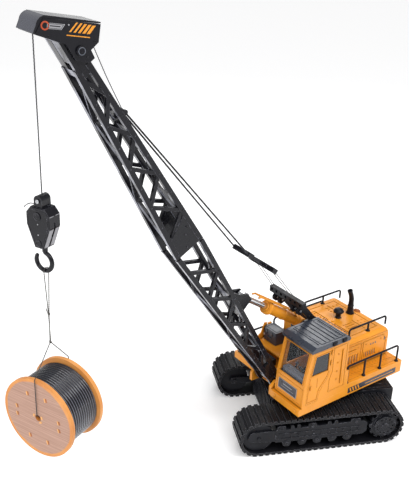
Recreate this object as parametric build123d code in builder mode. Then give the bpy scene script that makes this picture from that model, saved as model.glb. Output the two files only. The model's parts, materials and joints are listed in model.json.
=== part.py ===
"""Toy lattice-boom crawler crane with a cable reel on its hook.

Frame: origin on the slew axis at floor level, +X towards the boom, +Y towards the cab side, +Z up.
Millimetres throughout. The undercarriage stands turned under the house by track_turn degrees.
"""
from build123d import *
from math import atan2, cos, degrees, hypot, pi, radians, sin
import os

os.makedirs("parts", exist_ok=True)

# ---- driving dimensions: undercarriage -------------------------------------------------------
track_turn = -24.0
overall_width = 190.0
belt_width = 45.0
belt_radius = 29.0
belt_band = 2.5
shoe_height = 2.5
shoe_length = 5.6
shoes_per_run = 21
shoes_per_end = 9
sprocket_u = -104.7
idler_u = 86.7
axle_z = belt_radius
chassis_rear = -133.0
chassis_front = 57.0
chassis_half = 49.0
chassis_bottom = 10.0
chassis_top = 62.0
wall = 2.5
run_gap = 0.05
sprocket_shaft_r = 3.0
idler_axle_r = 2.5
hub_r = 20.0
ring_top = 65.0
ring_teeth = 60
pinion_teeth = 15
gear_module = 1.0

# ---- driving dimensions: house ---------------------------------------------------------------
deck_bottom = 74.0
deck_top = 94.0
lip_top = 85.0
deck_rear = -130.0
deck_front = 60.0
lip_front = 79.0
deck_half = 85.0
hood_rear = -128.0
hood_front = -14.0
hood_half = 58.0
hood_top = 142.0
cab_inner = 27.0
cab_rear = -8.0
cab_top = 172.0
roof_top = 180.0
rail_r = 1.5
exhaust_x = -102.0
intake_x = -76.0
stack_y = -4.0

# ---- driving dimensions: boom and its gear ---------------------------------------------------
foot_x = 64.0
foot_z = 86.0
boom_angle = 59.3
foot_half = 18.5
splice_s = 298.0
boom_end_s = 569.0
chord = 6.4
lace = 4.4
foot_pin_r = 3.0
ram_x = 8.0
ram_z = 163.0
ram_pin_x = 121.0
ram_pin_z = 237.0
ram_r = 8.0
ram_rod_r = 4.3
gantry_x = 37.7
gantry_z = 213.5
gantry_half = 35.0
stay_x = 303.4
stay_z = 517.6
bar_upper = (124.0, 305.5)
bar_lower = (88.0, 277.3)

# ---- driving dimensions: boom head, hook and reel --------------------------------------------
head_half = 20.5
head_skin = 2.2
drum_x = 361.4
drum_z = 590.4
rope_x = 402.0
rope_top = 613.0
rope_r = 0.7
head_sheave_r = 6.0
head_sheave_z = 613.2
block_top = 441.0
block_bottom = 381.0
block_pin_z = 418.3
block_half = 9.2
hang_yaw = 24.0
hook_z = 362.0
hook_r = 11.0
hook_wire = 2.8
knot_z = 297.0
apex_z = 260.0
reel_z = 171.2
reel_r = 51.3
reel_half = 28.2
flange_t = 5.0
winding_r = 46.5
winding_turns = 13
bore_r = 4.2
string_r = 0.6


def finish(builder, name):
    """Label a finished piece and write its STEP file."""
    builder.part.label = name
    export_step(builder.part, f"parts/{name}.step")


def turned(u, v, z):
    """A point of the undercarriage, given along and across its tracks."""
    a = radians(track_turn)
    return Vector(u * cos(a) - v * sin(a), u * sin(a) + v * cos(a), z)


def crawler_plane(z):
    """Level plane whose X runs along the tracks."""
    return Plane(turned(0, 0, z), x_dir=turned(1, 0, 0), z_dir=(0, 0, 1))


def crawler_side(v):
    """Upright plane along the tracks at v across them; its normal points towards -v."""
    return Plane(turned(0, v, 0), x_dir=turned(1, 0, 0), z_dir=turned(0, -1, 0))


def side_plane(y):
    """Upright plane along the house at y; local X is +X, local Y is +Z, its normal is -Y."""
    return Plane((0, y, 0), x_dir=(1, 0, 0), z_dir=(0, -1, 0))


def boom_plane(y):
    """Upright plane at y along the boom axis: local X runs up the boom, local Y to its rear."""
    a = radians(boom_angle)
    return Plane((foot_x, y, foot_z), x_dir=(cos(a), 0, sin(a)), z_dir=(0, -1, 0))


def boom_point(s, e, y):
    """A point s up the boom, e towards its rear face and y across it."""
    a = radians(boom_angle)
    return Vector(foot_x + s * cos(a) - e * sin(a), y, foot_z + s * sin(a) + e * cos(a))


def hang_point(n, w, z):
    """A point below the boom head: n along the reel's axis and w across it."""
    a = radians(hang_yaw)
    return Vector(rope_x + n * cos(a) - w * sin(a), n * sin(a) + w * cos(a), z)


def hang_plane(n):
    """Upright plane square to the reel's axis; local X runs across it and local Y up."""
    return Plane(hang_point(n, 0, 0), x_dir=hang_point(0, 1, 0) - hang_point(0, 0, 0),
                 z_dir=hang_point(1, 0, 0) - hang_point(0, 0, 0))


def block(x0, x1, y0, y1, z0, z1, mode=Mode.ADD):
    """An upright box of the house between the given limits."""
    with BuildSketch(Plane.XY.offset(z0)) as foot:
        with Locations(((x0 + x1) / 2, (y0 + y1) / 2)):
            Rectangle(x1 - x0, y1 - y0)
    extrude(foot.sketch, amount=z1 - z0, mode=mode)


def crawler_block(u0, u1, v0, v1, z0, z1, mode=Mode.ADD):
    """An upright box of the undercarriage between the given limits."""
    with BuildSketch(crawler_plane(z0)) as foot:
        with Locations(((u0 + u1) / 2, (v0 + v1) / 2)):
            Rectangle(u1 - u0, v1 - v0)
    extrude(foot.sketch, amount=z1 - z0, mode=mode)


def plate(plane, points, amount, mode=Mode.ADD):
    """A flat plate with the given outline, extruded along the plane's normal."""
    with BuildSketch(plane) as outline:
        with BuildLine():
            Polyline(*points, close=True)
        make_face()
    extrude(outline.sketch, amount=amount, mode=mode)


def disc(plane, radius, amount, at=(0, 0), mode=Mode.ADD):
    """A round boss or hole standing on a plane."""
    with BuildSketch(plane) as ring:
        with Locations(at):
            Circle(radius)
    extrude(ring.sketch, amount=amount, mode=mode)


def strut(start, end, width, depth, across=(0, 1, 0)):
    """A straight square-cut member between two points."""
    along = Vector(*end) - Vector(*start)
    with BuildSketch(Plane(Vector(*start), x_dir=Vector(*across), z_dir=along)) as section:
        Rectangle(width, depth)
    extrude(section.sketch, amount=along.length)


def rod(start, end, radius, mode=Mode.ADD):
    """A straight round bar between two points."""
    along = Vector(*end) - Vector(*start)
    with BuildSketch(Plane(Vector(*start), z_dir=along)) as section:
        Circle(radius)
    extrude(section.sketch, amount=along.length, mode=mode)


def cord(points, radius):
    """A taut cord through the given points, rounded at each of them."""
    for start, end in zip(points, points[1:]):
        rod(start, end, radius)
    with Locations(*points[1:-1]):
        Sphere(radius)


def bent_tube(points, bend, radius):
    """A bent round rail through the given points."""
    with BuildLine() as path:
        FilletPolyline(*points, radius=bend)
    with BuildSketch(Plane(path.line @ 0, z_dir=path.line % 0)) as section:
        Circle(radius)
    sweep(section.sketch, path=path.line)


def gear_sketch(teeth, bore):
    """Spur gear outline with trapezoid teeth and a round bore."""
    pitch_r = gear_module * teeth / 2
    root_r = pitch_r - 1.2 * gear_module
    tip_r = pitch_r + 0.9 * gear_module
    half_root = 0.40 * pi * gear_module / 2 * 1.25
    half_tip = 0.40 * pi * gear_module / 2 * 0.45
    Circle(root_r)
    with PolarLocations(0, teeth):
        Polygon((root_r - 0.4, -half_root), (tip_r, -half_tip), (tip_r, half_tip),
                (root_r - 0.4, half_root), align=None)
    Circle(bore, mode=Mode.SUBTRACT)


# ---- undercarriage ---------------------------------------------------------------------------

def make_car_body():
    """Ribbed box between the tracks that holds the drive and the battery."""
    with BuildPart() as car_body:
        crawler_block(chassis_rear, chassis_front, -chassis_half, chassis_half, chassis_bottom, chassis_top)
        inner = chassis_half - wall
        crawler_block(chassis_rear + wall, chassis_front - wall, -inner, inner,
                      chassis_bottom + wall, chassis_top - wall, mode=Mode.SUBTRACT)
        crawler_block(-122, -72, -30, 30, chassis_bottom, chassis_bottom + wall, mode=Mode.SUBTRACT)
        disc(crawler_plane(chassis_top - wall), hub_r, wall, mode=Mode.SUBTRACT)
        rib_pitch = 7.0
        for i in range(13):
            v = (i - 6) * rib_pitch
            crawler_block(chassis_front, chassis_front + 2.0, v - 1.4, v + 1.4, 14, chassis_top - 3)
        crawler_block(chassis_rear + 8, chassis_rear + 20, -5, 5, chassis_top - wall, chassis_top,
                      mode=Mode.SUBTRACT)
        disc(crawler_side(chassis_half), sprocket_shaft_r + run_gap, 2 * chassis_half,
             at=(sprocket_u, axle_z), mode=Mode.SUBTRACT)
    finish(car_body, "car_body")


def make_battery():
    """Cover under the chassis, the pack above it and the slide switch on the rear deck."""
    with BuildPart() as battery_cover:
        crawler_block(-125, -69, -33, 33, chassis_bottom - 1.4, chassis_bottom)
    finish(battery_cover, "battery_cover")
    with BuildPart() as battery_pack:
        for row in range(3):
            v = (row - 1) * 15.5
            rod(turned(-122, v, 22), turned(-72, v, 22), 7.2)
        crawler_block(-124, -122, -24, 24, chassis_bottom + wall, 31)
        crawler_block(-72, -70, -24, 24, chassis_bottom + wall, 31)
    finish(battery_pack, "battery_pack")
    with BuildPart() as power_switch:
        crawler_block(chassis_rear + 8.4, chassis_rear + 13.4, -4.6, 4.6, chassis_top - 2, chassis_top + 1.6)
    finish(power_switch, "power_switch")


def make_track_frame(side, name):
    """Side frame inside a track belt: hollow beam, idler yoke, lugs and moulded rollers."""
    inner_v = side * 53.0
    outer_v = side * 93.0
    with BuildPart() as track_frame:
        crawler_block(-72, 60, min(inner_v, side * 90), max(inner_v, side * 90), 24, 40)
        crawler_block(-69, 57, min(inner_v, side * 88), max(inner_v, side * 88), 26.5, 37.5,
                      mode=Mode.SUBTRACT)
        crawler_block(-60, 40, min(side * chassis_half, inner_v + side * 2),
                      max(side * chassis_half, inner_v + side * 2), 22, 26.5)
        crawler_block(-60, 40, min(side * chassis_half, inner_v + side * 2),
                      max(side * chassis_half, inner_v + side * 2), 37.5, 42)
        face = crawler_side(outer_v)
        depth = side * 3.0
        plate(face, [(-76, 24), (-70, 20), (62, 20), (62, 41), (-70, 43), (-76, 38)], depth)
        for lug_u, lug_w in ((54, 12), (38, 5), (28, 5), (8, 12), (-18, 5), (-28, 5), (-58, 14)):
            with BuildSketch(face) as lug:
                with Locations((lug_u, 43)):
                    RectangleRounded(lug_w, 9, 2)
            extrude(lug.sketch, amount=depth)
        for i in range(5):
            disc(face, 6.5, depth + side * 30, at=(45 - 23 * i, 18))
        yoke = crawler_side(outer_v - side * 0.8)
        plate(yoke, [(58, 21), (98, 24), (103, 29), (100, 37), (96, 40), (58, 40)], side * 2.2)
        plate(crawler_side(inner_v + side * 3), [(55, 24), (92, 24), (95, 29), (92, 34), (55, 34)], side * 3)
        disc(crawler_side(side * 94), idler_axle_r + run_gap, side * 44, at=(idler_u, axle_z),
             mode=Mode.SUBTRACT)
    finish(track_frame, name)


def make_track_belt(side, name):
    """Closed rubber belt with a row of grouser shoes, standing on the floor."""
    straight = idler_u - sprocket_u
    middle = (idler_u + sprocket_u) / 2
    band_r = belt_radius - shoe_height
    pitch = straight / shoes_per_run
    step = 180.0 / shoes_per_end
    shoe_mid = band_r + shoe_height / 2 - 0.25
    with BuildPart() as track_belt:
        with BuildSketch(crawler_side(side * overall_width / 2)) as loop:
            with Locations((middle, axle_z)):
                SlotCenterToCenter(straight, 2 * band_r)
                SlotCenterToCenter(straight, 2 * (band_r - belt_band), mode=Mode.SUBTRACT)
            for level in (-1, 1):
                with Locations((middle, axle_z + level * shoe_mid)):
                    with GridLocations(pitch, 1, shoes_per_run, 1):
                        Rectangle(shoe_length, shoe_height + 0.5)
            for centre_u, first in ((idler_u, -90), (sprocket_u, 90)):
                with Locations((centre_u, axle_z)):
                    with PolarLocations(shoe_mid, shoes_per_end, start_angle=first + step / 2,
                                        angular_range=180 - step, endpoint=True):
                        Rectangle(shoe_height + 0.2, shoe_length)
        extrude(loop.sketch, amount=side * belt_width)
    finish(track_belt, name)


def make_drive_sprocket(side, name):
    """Drive wheel at the rear of a track with its perforated hub disc and shaft."""
    with BuildPart() as drive_sprocket:
        with BuildSketch(crawler_side(side * 90)) as wheel:
            with Locations((sprocket_u, axle_z)):
                Circle(20)
                with PolarLocations(21, 12):
                    Rectangle(4, 5)
        extrude(wheel.sketch, amount=side * 34)
        disc(crawler_side(side * 93.6), 16.5, side * 3.6, at=(sprocket_u, axle_z))
        with BuildSketch(crawler_side(side * 93.6)) as holes:
            with Locations((sprocket_u, axle_z)):
                with PolarLocations(12, 12):
                    Circle(1.6)
        extrude(holes.sketch, amount=side * 2.0, mode=Mode.SUBTRACT)
        disc(crawler_side(side * 94.6), 5.0, side * 1.0, at=(sprocket_u, axle_z))
        disc(crawler_side(side * 56), sprocket_shaft_r, side * 16, at=(sprocket_u, axle_z))
    finish(drive_sprocket, name)


def make_idler_wheel(side, name):
    """Front wheel of a track on an axle that runs in the frame's yoke."""
    with BuildPart() as idler_wheel:
        with BuildSketch(crawler_side(side * 89)) as wheel:
            with Locations((idler_u, axle_z)):
                Circle(22.5)
        extrude(wheel.sketch, amount=side * 8)
        extrude(wheel.sketch.moved(Location(turned(0, -side * 23, 0))), amount=side * 8)
        disc(crawler_side(side * 82), 12, side * 17, at=(idler_u, axle_z))
        disc(crawler_side(side * 93), idler_axle_r, side * 42, at=(idler_u, axle_z))
    finish(idler_wheel, name)


def make_drive_motors():
    """Two geared motors inside the chassis, one for each sprocket shaft."""
    with BuildPart() as drive_motors:
        for side in (-1, 1):
            crawler_block(sprocket_u - 10, sprocket_u + 12, min(side * 20, side * 39.5),
                          max(side * 20, side * 39.5), 32.5, 46)
            rod(turned(sprocket_u + 12, side * 30, 42), turned(sprocket_u + 40, side * 30, 42), 9)
    finish(drive_motors, "drive_motors")


def make_slew_gear():
    """Fixed ring gear on the chassis and the pinion that walks round it."""
    with BuildPart() as slew_ring:
        with BuildSketch(Plane.XY.offset(chassis_top)) as ring:
            gear_sketch(ring_teeth, hub_r + 1.5)
        extrude(ring.sketch, amount=ring_top - chassis_top)
    finish(slew_ring, "slew_ring")
    centre = -gear_module * (ring_teeth + pinion_teeth) / 2
    with BuildPart() as slew_pinion:
        half_tooth = 180 / pinion_teeth
        with BuildSketch(Plane((centre, 0, chassis_top + 0.3)).rotated((0, 0, half_tooth))) as gear:
            gear_sketch(pinion_teeth, 0.5)
        extrude(gear.sketch, amount=ring_top - chassis_top - 0.4)
        disc(Plane((centre, 0, chassis_top + 0.3)), 2.0, 18)
    finish(slew_pinion, "slew_pinion")
    with BuildPart() as slew_motor:
        disc(Plane((centre, 0, 81)), 11, 28)
        block(centre - 13, centre + 13, -13, 13, 80.5, 83)
    finish(slew_motor, "slew_motor")


# ---- house -----------------------------------------------------------------------------------

def make_turntable():
    """Round base under the deck with the hub that turns in the chassis."""
    centre = -gear_module * (ring_teeth + pinion_teeth) / 2
    with BuildPart() as turntable_base:
        disc(Plane.XY.offset(ring_top + 0.3), 50, deck_bottom - ring_top - 0.3)
        disc(Plane.XY.offset(chassis_top - 6), hub_r - run_gap, 16)
        disc(Plane.XY.offset(chassis_top - 6), 15, 30, mode=Mode.SUBTRACT)
        disc(Plane((centre, 0, ring_top)), 2.0 + run_gap, 20, mode=Mode.SUBTRACT)
    finish(turntable_base, "turntable_base")


def make_house_deck():
    """Orange floor tray with skirts, walkways and the bumper lip under the cab."""
    with BuildPart() as house_deck:
        block(deck_rear, deck_front, -deck_half, deck_half, deck_bottom, deck_top)
        block(deck_rear + 3, deck_front - 3, -deck_half + 3, deck_half - 3, deck_bottom + 3, deck_top,
              mode=Mode.SUBTRACT)
        block(deck_front - 3, lip_front, 24.5, deck_half, deck_bottom, lip_top)
        block(-11, deck_front, 24.5, deck_half, lip_top, deck_top + 1, mode=Mode.SUBTRACT)
        block(-13, deck_front, 24.5, deck_half, lip_top - 3, lip_top)
        block(deck_rear, -11, hood_half - 4, deck_half, deck_top - 3, deck_top)
        block(deck_rear, -8, -deck_half, -hood_half + 4, deck_top - 3, deck_top)
        block(deck_rear, deck_rear + 6, -deck_half, deck_half, deck_top - 3, deck_top)
        block(-36, 22, -deck_half, 24.5, deck_top - 3, deck_top)
        block(-50, -4, -15, 15, deck_top - 3, deck_top + 1, mode=Mode.SUBTRACT)
        block(-13.5, -10.5, 24.5, deck_half, deck_bottom, 118)
        block(-10.5, cab_rear, deck_half - 3, deck_half, lip_top, 118)
        block(40, deck_front + 1, -24.5, 24.5, deck_bottom - 1, deck_top + 1, mode=Mode.SUBTRACT)
        block(37, 40, -27.5, 27.5, deck_bottom, lip_top)
        block(22, deck_front + 1, -deck_half - 1, -24.5, lip_top, deck_top + 1, mode=Mode.SUBTRACT)
        for side in (-1, 1):
            block(40, deck_front, min(side * 24.5, side * 27.5), max(side * 24.5, side * 27.5),
                  deck_bottom, lip_top)
        pillar = [(-10, deck_top), (22, deck_top), (14, deck_top + 3), (0, deck_top + 3), (-4, 116),
                  (-10, 116)]
        plate(side_plane(-deck_half + 3), pillar, 3)
        disc(Plane.XY.offset(deck_bottom), 15, 4, mode=Mode.SUBTRACT)
        disc(Plane((-37.5, 0, deck_bottom)), 4, 4, mode=Mode.SUBTRACT)
    finish(house_deck, "house_deck")


def make_inner_house():
    """Cast counterweight and circuit board inside the house."""
    with BuildPart() as counterweight:
        block(deck_rear + 7, -90, -52, 52, deck_bottom + 3, 112)
    finish(counterweight, "counterweight")
    with BuildPart() as circuit_board:
        block(-84, -64, -40, 40, 84, 85.6)
        for i in range(3):
            y = (i - 1) * 24
            block(-80, -70, y - 5, y + 5, 85.6, 88.6)
        for side in (-1, 1):
            rod((-74, side * 36, deck_bottom + 3), (-74, side * 36, 84), 3)
    finish(circuit_board, "circuit_board")


def make_engine_hood():
    """Orange hood shell, rounded along its top edges and at its rear."""
    with BuildPart() as engine_hood:
        block(hood_rear, hood_front, -hood_half, hood_half, deck_top, hood_top)
        top_rear = engine_hood.edges().filter_by(Axis.Y).group_by(Axis.Z)[-1].sort_by(Axis.X)[0]
        fillet(top_rear, radius=16)
        fillet(engine_hood.edges().filter_by(Axis.X).group_by(Axis.Z)[-1], radius=6)
        bottom = engine_hood.faces().sort_by(Axis.Z)[0]
        offset(amount=-wall, openings=bottom)
    finish(engine_hood, "engine_hood")


def cab_outline(inset):
    """Side outline of the cab, drawn in by the given inset."""
    return [(cab_rear + inset, lip_top), (74 - inset, lip_top), (72 - inset, 121),
            (62 - inset, cab_top - inset), (cab_rear + inset, cab_top - inset)]


def door_outline(gap):
    """Side outline of the cab door, grown by the given gap."""
    return [(24.6 - gap, 168 + gap), (24.6 - gap, 134), (30 - gap, 120 - gap), (43 - gap, 104 - gap),
            (45 - gap, 89 - gap), (67.4 + gap, 89 - gap), (66.0 + gap, 121), (57.5 + gap, 168 + gap)]


def make_cab():
    """Cab shell with its windows, roof, windscreen, door and fittings."""
    with BuildPart() as cab_shell:
        plate(side_plane(deck_half), cab_outline(0), deck_half - cab_inner)
        plate(side_plane(deck_half - wall), cab_outline(wall), deck_half - cab_inner - 2 * wall,
              mode=Mode.SUBTRACT)
        plate(side_plane(deck_half + 1), door_outline(0.3), 1 + wall, mode=Mode.SUBTRACT)
        block(40, 90, 33, 79, 120, 168, mode=Mode.SUBTRACT)
        plate(side_plane(cab_inner + wall), [(8, 124), (58, 124), (52, 162), (8, 162)], wall,
              mode=Mode.SUBTRACT)
        block(cab_rear - 1, cab_rear + wall, 36, 76, 124, 162, mode=Mode.SUBTRACT)
        front_edges = cab_shell.edges().filter_by(Axis.Y).sort_by(Axis.X)[-1]
        fillet(front_edges, radius=1.0)
    finish(cab_shell, "cab_shell")
    with BuildPart() as cab_roof:
        plate(side_plane(deck_half + 2.5),
              [(cab_rear + 2, cab_top), (65, cab_top), (65.5, cab_top + 4), (58, roof_top),
               (cab_rear + 6, roof_top), (cab_rear + 1, cab_top + 4)], deck_half - cab_inner + 4.5)
        groove_pitch = 8.0
        for i in range(6):
            x = 36 - i * groove_pitch
            block(x, x + 1.6, cab_inner + 4, deck_half - 2, roof_top - 1, roof_top + 1, mode=Mode.SUBTRACT)
    finish(cab_roof, "cab_roof")
    with BuildPart() as windscreen:
        plate(side_plane(78.9), [(68.2, 120.2), (69.6, 120.2), (61.4, 167.8), (60.0, 167.8)], 45.8)
    finish(windscreen, "windscreen")
    with BuildPart() as cab_door:
        plate(side_plane(deck_half), door_outline(0), 2.0)
        plate(side_plane(deck_half), [(30, 134), (60.5, 134), (54.5, 163), (30, 163)], 2.0,
              mode=Mode.SUBTRACT)
        block(60, 62, deck_half, deck_half + 1.6, 112, 118)
    finish(cab_door, "cab_door")
    with BuildPart() as door_glass:
        plate(side_plane(deck_half - 0.6), [(30.1, 134.1), (60.4, 134.1), (54.4, 162.9), (30.1, 162.9)], 1.0)
    finish(door_glass, "door_glass")
    with BuildPart() as cab_seat:
        block(14, 30, 48, 66, lip_top, 100)
        block(10, 36, 44, 70, 100, 109)
        plate(side_plane(70), [(8, 100), (10, 109), (16, 109), (12, 152), (5, 152)], 26)
    finish(cab_seat, "cab_seat")
    with BuildPart() as cab_console:
        plate(side_plane(81), [(54, lip_top), (69, lip_top), (67, 119), (63, 121), (54, 112)], 50)
        for y in (44, 68):
            rod((58, y, 114), (50, y, 130), 1.2)
            with Locations((50, y, 130)):
                Sphere(2.4)
    finish(cab_console, "cab_console")


def make_house_trim():
    """Rails, exhaust, air intake, tool box and side platform."""
    with BuildPart() as hood_rails:
        for side in (-1, 1):
            y = side * 49.0
            top = hood_top + 14
            route = [(-46, y, hood_top), (-46, y, top), (-124, y, top), (-124, y, hood_top - 6)]
            bent_tube(route, 4, rail_r)
            rod((-86, y, hood_top), (-86, y, top), rail_r)
        block(hood_rear, hood_front, -hood_half, hood_half, hood_top - 20, hood_top, mode=Mode.SUBTRACT)
    finish(hood_rails, "hood_rails")
    with BuildPart() as walkway_rails:
        for y, front, posts in ((82.0, -13.5, (-50, -84)), (-82.0, -14.5, (-50, -84))):
            top = 122.0
            start_z = deck_top
            bent_tube([(front, y, start_z), (front, y, top), (-121, y, top), (-121, y, deck_top)], 5, rail_r)
            for x in posts:
                rod((x, y, deck_top), (x, y, top), rail_r)
        block(-16, -8, 80, 86, deck_top - 1, 118, mode=Mode.SUBTRACT)
        edge_y = -deck_half + 1.5
        bent_tube([(-2.6, edge_y, 112), (50, edge_y, 112), (50, edge_y, lip_top)], 5, rail_r)
    finish(walkway_rails, "walkway_rails")
    with BuildPart() as exhaust_stack:
        disc(Plane((exhaust_x, stack_y, hood_top)), 5.5, 5)
        bent_tube([(exhaust_x, stack_y, hood_top + 4), (exhaust_x, stack_y, 166),
                   (exhaust_x + 6, stack_y, 184)], 14, 3.8)
    finish(exhaust_stack, "exhaust_stack")
    with BuildPart() as air_intake:
        disc(Plane((intake_x, stack_y, hood_top)), 4.0, 10)
        with BuildSketch(Plane((intake_x, stack_y, hood_top + 10))) as cap:
            Circle(8)
        extrude(cap.sketch, amount=6, taper=12)
    finish(air_intake, "air_intake")
    with BuildPart() as tool_box:
        block(-12, 8, -79, -50, deck_top, 116)
        fillet(tool_box.edges().filter_by(Axis.Z), radius=2)
    finish(tool_box, "tool_box")
    with BuildPart() as side_platform:
        block(24, 56.5, -81.5, -28, deck_bottom + 3, 88)
        block(26, 54.5, -79.5, -30, deck_bottom + 3, 86, mode=Mode.SUBTRACT)
    finish(side_platform, "side_platform")


def make_gantry():
    """Raised frame behind the cab with a drilled cross bar for the luffing lines."""
    with BuildPart() as gantry_frame:
        for side in (-1, 1):
            inner = side * 18.0
            outer = side * 22.0
            low = min(inner, outer)
            high = max(inner, outer)
            block(-44, -16, low, high, hood_top, hood_top + 3)
            leg = [(-30, hood_top + 2), (-17, hood_top + 2), (41, 211), (38, 217), (32, 215)]
            plate(side_plane(high), leg, high - low)
        bar = [(gantry_x - 4, gantry_z - 5), (gantry_x + 4, gantry_z - 5), (gantry_x + 4, gantry_z + 4),
               (gantry_x - 4, gantry_z + 4)]
        plate(side_plane(gantry_half), bar, 2 * gantry_half)
        for i in range(7):
            y = (i - 3) * 10.0
            rod((gantry_x - 6, y, gantry_z), (gantry_x + 6, y, gantry_z), 2.2, mode=Mode.SUBTRACT)
    finish(gantry_frame, "gantry_frame")


def make_brackets():
    """Ears that carry the boom foot, their pin, and the tower behind the luffing ram."""
    with BuildPart() as foot_bracket:
        for y in (24.3, -19.3):
            ear = [(42, deck_bottom), (78, deck_bottom), (78, 88), (70, 95), (58, 95), (42, 84)]
            plate(side_plane(y), ear, 5)
        block(40, 44, -24.3, 24.3, deck_bottom, 82)
        block(40, 60, -24.3, 24.3, deck_bottom, 75)
        rod((foot_x, -30, foot_z), (foot_x, 30, foot_z), foot_pin_r, mode=Mode.SUBTRACT)
    finish(foot_bracket, "foot_bracket")
    with BuildPart() as boom_foot_pin:
        rod((foot_x, -25.5, foot_z), (foot_x, 24.4, foot_z), foot_pin_r)
    finish(boom_foot_pin, "boom_foot_pin")
    with BuildPart() as ram_tower:
        for y in (12.0, -9.0):
            side_leg = [(-3.5, deck_top), (20, deck_top), (14, 168), (10, 170), (4, 170), (-1, 166)]
            plate(side_plane(y), side_leg, 3)
        block(-3.5, 20, -12, 12, deck_top, 97)
        block(-3.5, -1, -12, 12, 97, 140)
        rod((ram_x, -14, ram_z), (ram_x, 14, ram_z), 2.5)
    finish(ram_tower, "ram_tower")


# ---- boom ------------------------------------------------------------------------------------

def chord_at(s, rear):
    """Height e and half-spacing y of the rear or front chords at station s of the boom."""
    span_low = (s - 20) / (splice_s - 20)
    span_high = (s - splice_s) / (boom_end_s - splice_s)
    if rear:
        e = 8.3 + 3.8 * span_low if s < splice_s else 12.1 - 8.7 * span_high
    else:
        e = -4.7 - 21.0 * span_low if s < splice_s else -25.7 + 15.4 * span_high
    y = 16.0 if s < splice_s else 16.0 - 3.0 * span_high
    return e, y


def chord_point(s, rear, side):
    """A point on one of the four chords."""
    e, y = chord_at(s, rear)
    return boom_point(s, e, side * y)


def make_chords(low, high):
    """The four corner members between two stations."""
    for rear in (False, True):
        for side in (-1, 1):
            strut(chord_point(low, rear, side), chord_point(high, rear, side), chord, chord)


def make_lacing(stations, first_rear):
    """Zigzag members on both side faces and across the front and rear faces."""
    for side in (-1, 1):
        rear = first_rear
        for s0, s1 in zip(stations, stations[1:]):
            strut(chord_point(s0, rear, side), chord_point(s1, not rear, side), lace, lace)
            rear = not rear
    for rear in (False, True):
        side = 1
        for s0, s1 in zip(stations[::2], stations[2::2]):
            strut(chord_point(s0, rear, side), chord_point(s1, rear, -side), lace, lace, across=(1, 0, 0))
            side = -side


def make_boom():
    """Lattice boom in two lengths, joined at a plated splice."""
    with BuildPart() as boom_lower:
        make_chords(20, splice_s)
        make_lacing([46, 74, 102, 130, 158, 186, 214, 242, 270], False)
        for side in (-1, 1):
            outer = foot_half if side > 0 else -foot_half + 4.5
            foot = [(-9, -4), (-5, 8), (24, 11), (44, 11), (44, -9), (24, -7.2), (-4, -8)]
            plate(boom_plane(outer), foot, 4.5)
        lug_s = 158.9
        strut(boom_point(lug_s - 16, 9.6, 0), boom_point(lug_s + 34, 10.3, 0), 30, 3.4)
        for y in (10.0, -7.0):
            plate(boom_plane(y), [(lug_s - 12, 10), (lug_s + 30, 10), (lug_s + 26, 17), (lug_s + 14, 24),
                                  (lug_s + 6, 34), (lug_s - 6, 34), (lug_s - 8, 25)], 3)
        rod(boom_point(lug_s, 28.1, -10), boom_point(lug_s, 28.1, 10), 2.5)
        rod((foot_x, -30, foot_z), (foot_x, 30, foot_z), foot_pin_r + run_gap, mode=Mode.SUBTRACT)
    finish(boom_lower, "boom_lower")
    with BuildPart() as boom_upper:
        make_chords(splice_s + 2, boom_end_s)
        make_lacing([325, 352, 383, 412, 441, 470, 499, 527, 557], False)
        for y in (18.5, -16.3):
            plate(boom_plane(y), [(splice_s + 2, -28), (326, -26.5), (348, 12), (splice_s + 2, 14)], 2.2)
        for side in (-1, 1):
            face_y = 15.5 if side > 0 else -13.3
            gusset = [(556, -10), (580, -9), (580.4, -7.8), (569.5, 3.4), (560, 3.7)]
            plate(boom_plane(face_y), gusset, 2.2)
            horn_y = 16.6 if side > 0 else chord - 16.6
            plate(boom_plane(horn_y), [(562, -12.2), (604.8, -12.2), (599.5, -7.8), (562, -7.8)], chord)
        for web in ([(560, -12.2), (568.5, -12.2), (568.5, -10.8), (560, -10.8)],
                    [(578, -12.2), (604.6, -12.2), (603.2, -10.8), (578, -10.8)]):
            plate(boom_plane(10.6), web, 21.2)
        strut(boom_point(486, 6.0, -13), boom_point(486, 6.0, 13), 5, 5, across=(1, 0, 0))
        stay = Vector(stay_x, 0, stay_z)
        strut(boom_point(486, 6.0, 0), stay, 4, 5)
        rod((stay_x, -3.2, stay_z), (stay_x, 3.2, stay_z), 2.6)
    finish(boom_upper, "boom_upper")


def head_outline(inset):
    """Side outline of the boom head below its cap, from the nose round the tail to the boom."""
    top_rear = (338.6 + inset, 614.6 - inset)
    return [(408.0 - inset, 611.6), (399.8 - inset, 624.4 - inset), top_rear, (341.3 + inset, 597.2),
            (349.9 + inset, 590.2), (346.0 + inset, 582.0 + inset), (351.6, 577.8 + inset),
            (367.0 - 0.6 * inset, 581.4 + 0.9 * inset), (376.6 - 0.7 * inset, 597.6 + 0.8 * inset),
            (399.0 - 0.4 * inset, 605.6 + 0.9 * inset), (408.0 - inset, 608.9 + inset)]


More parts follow.
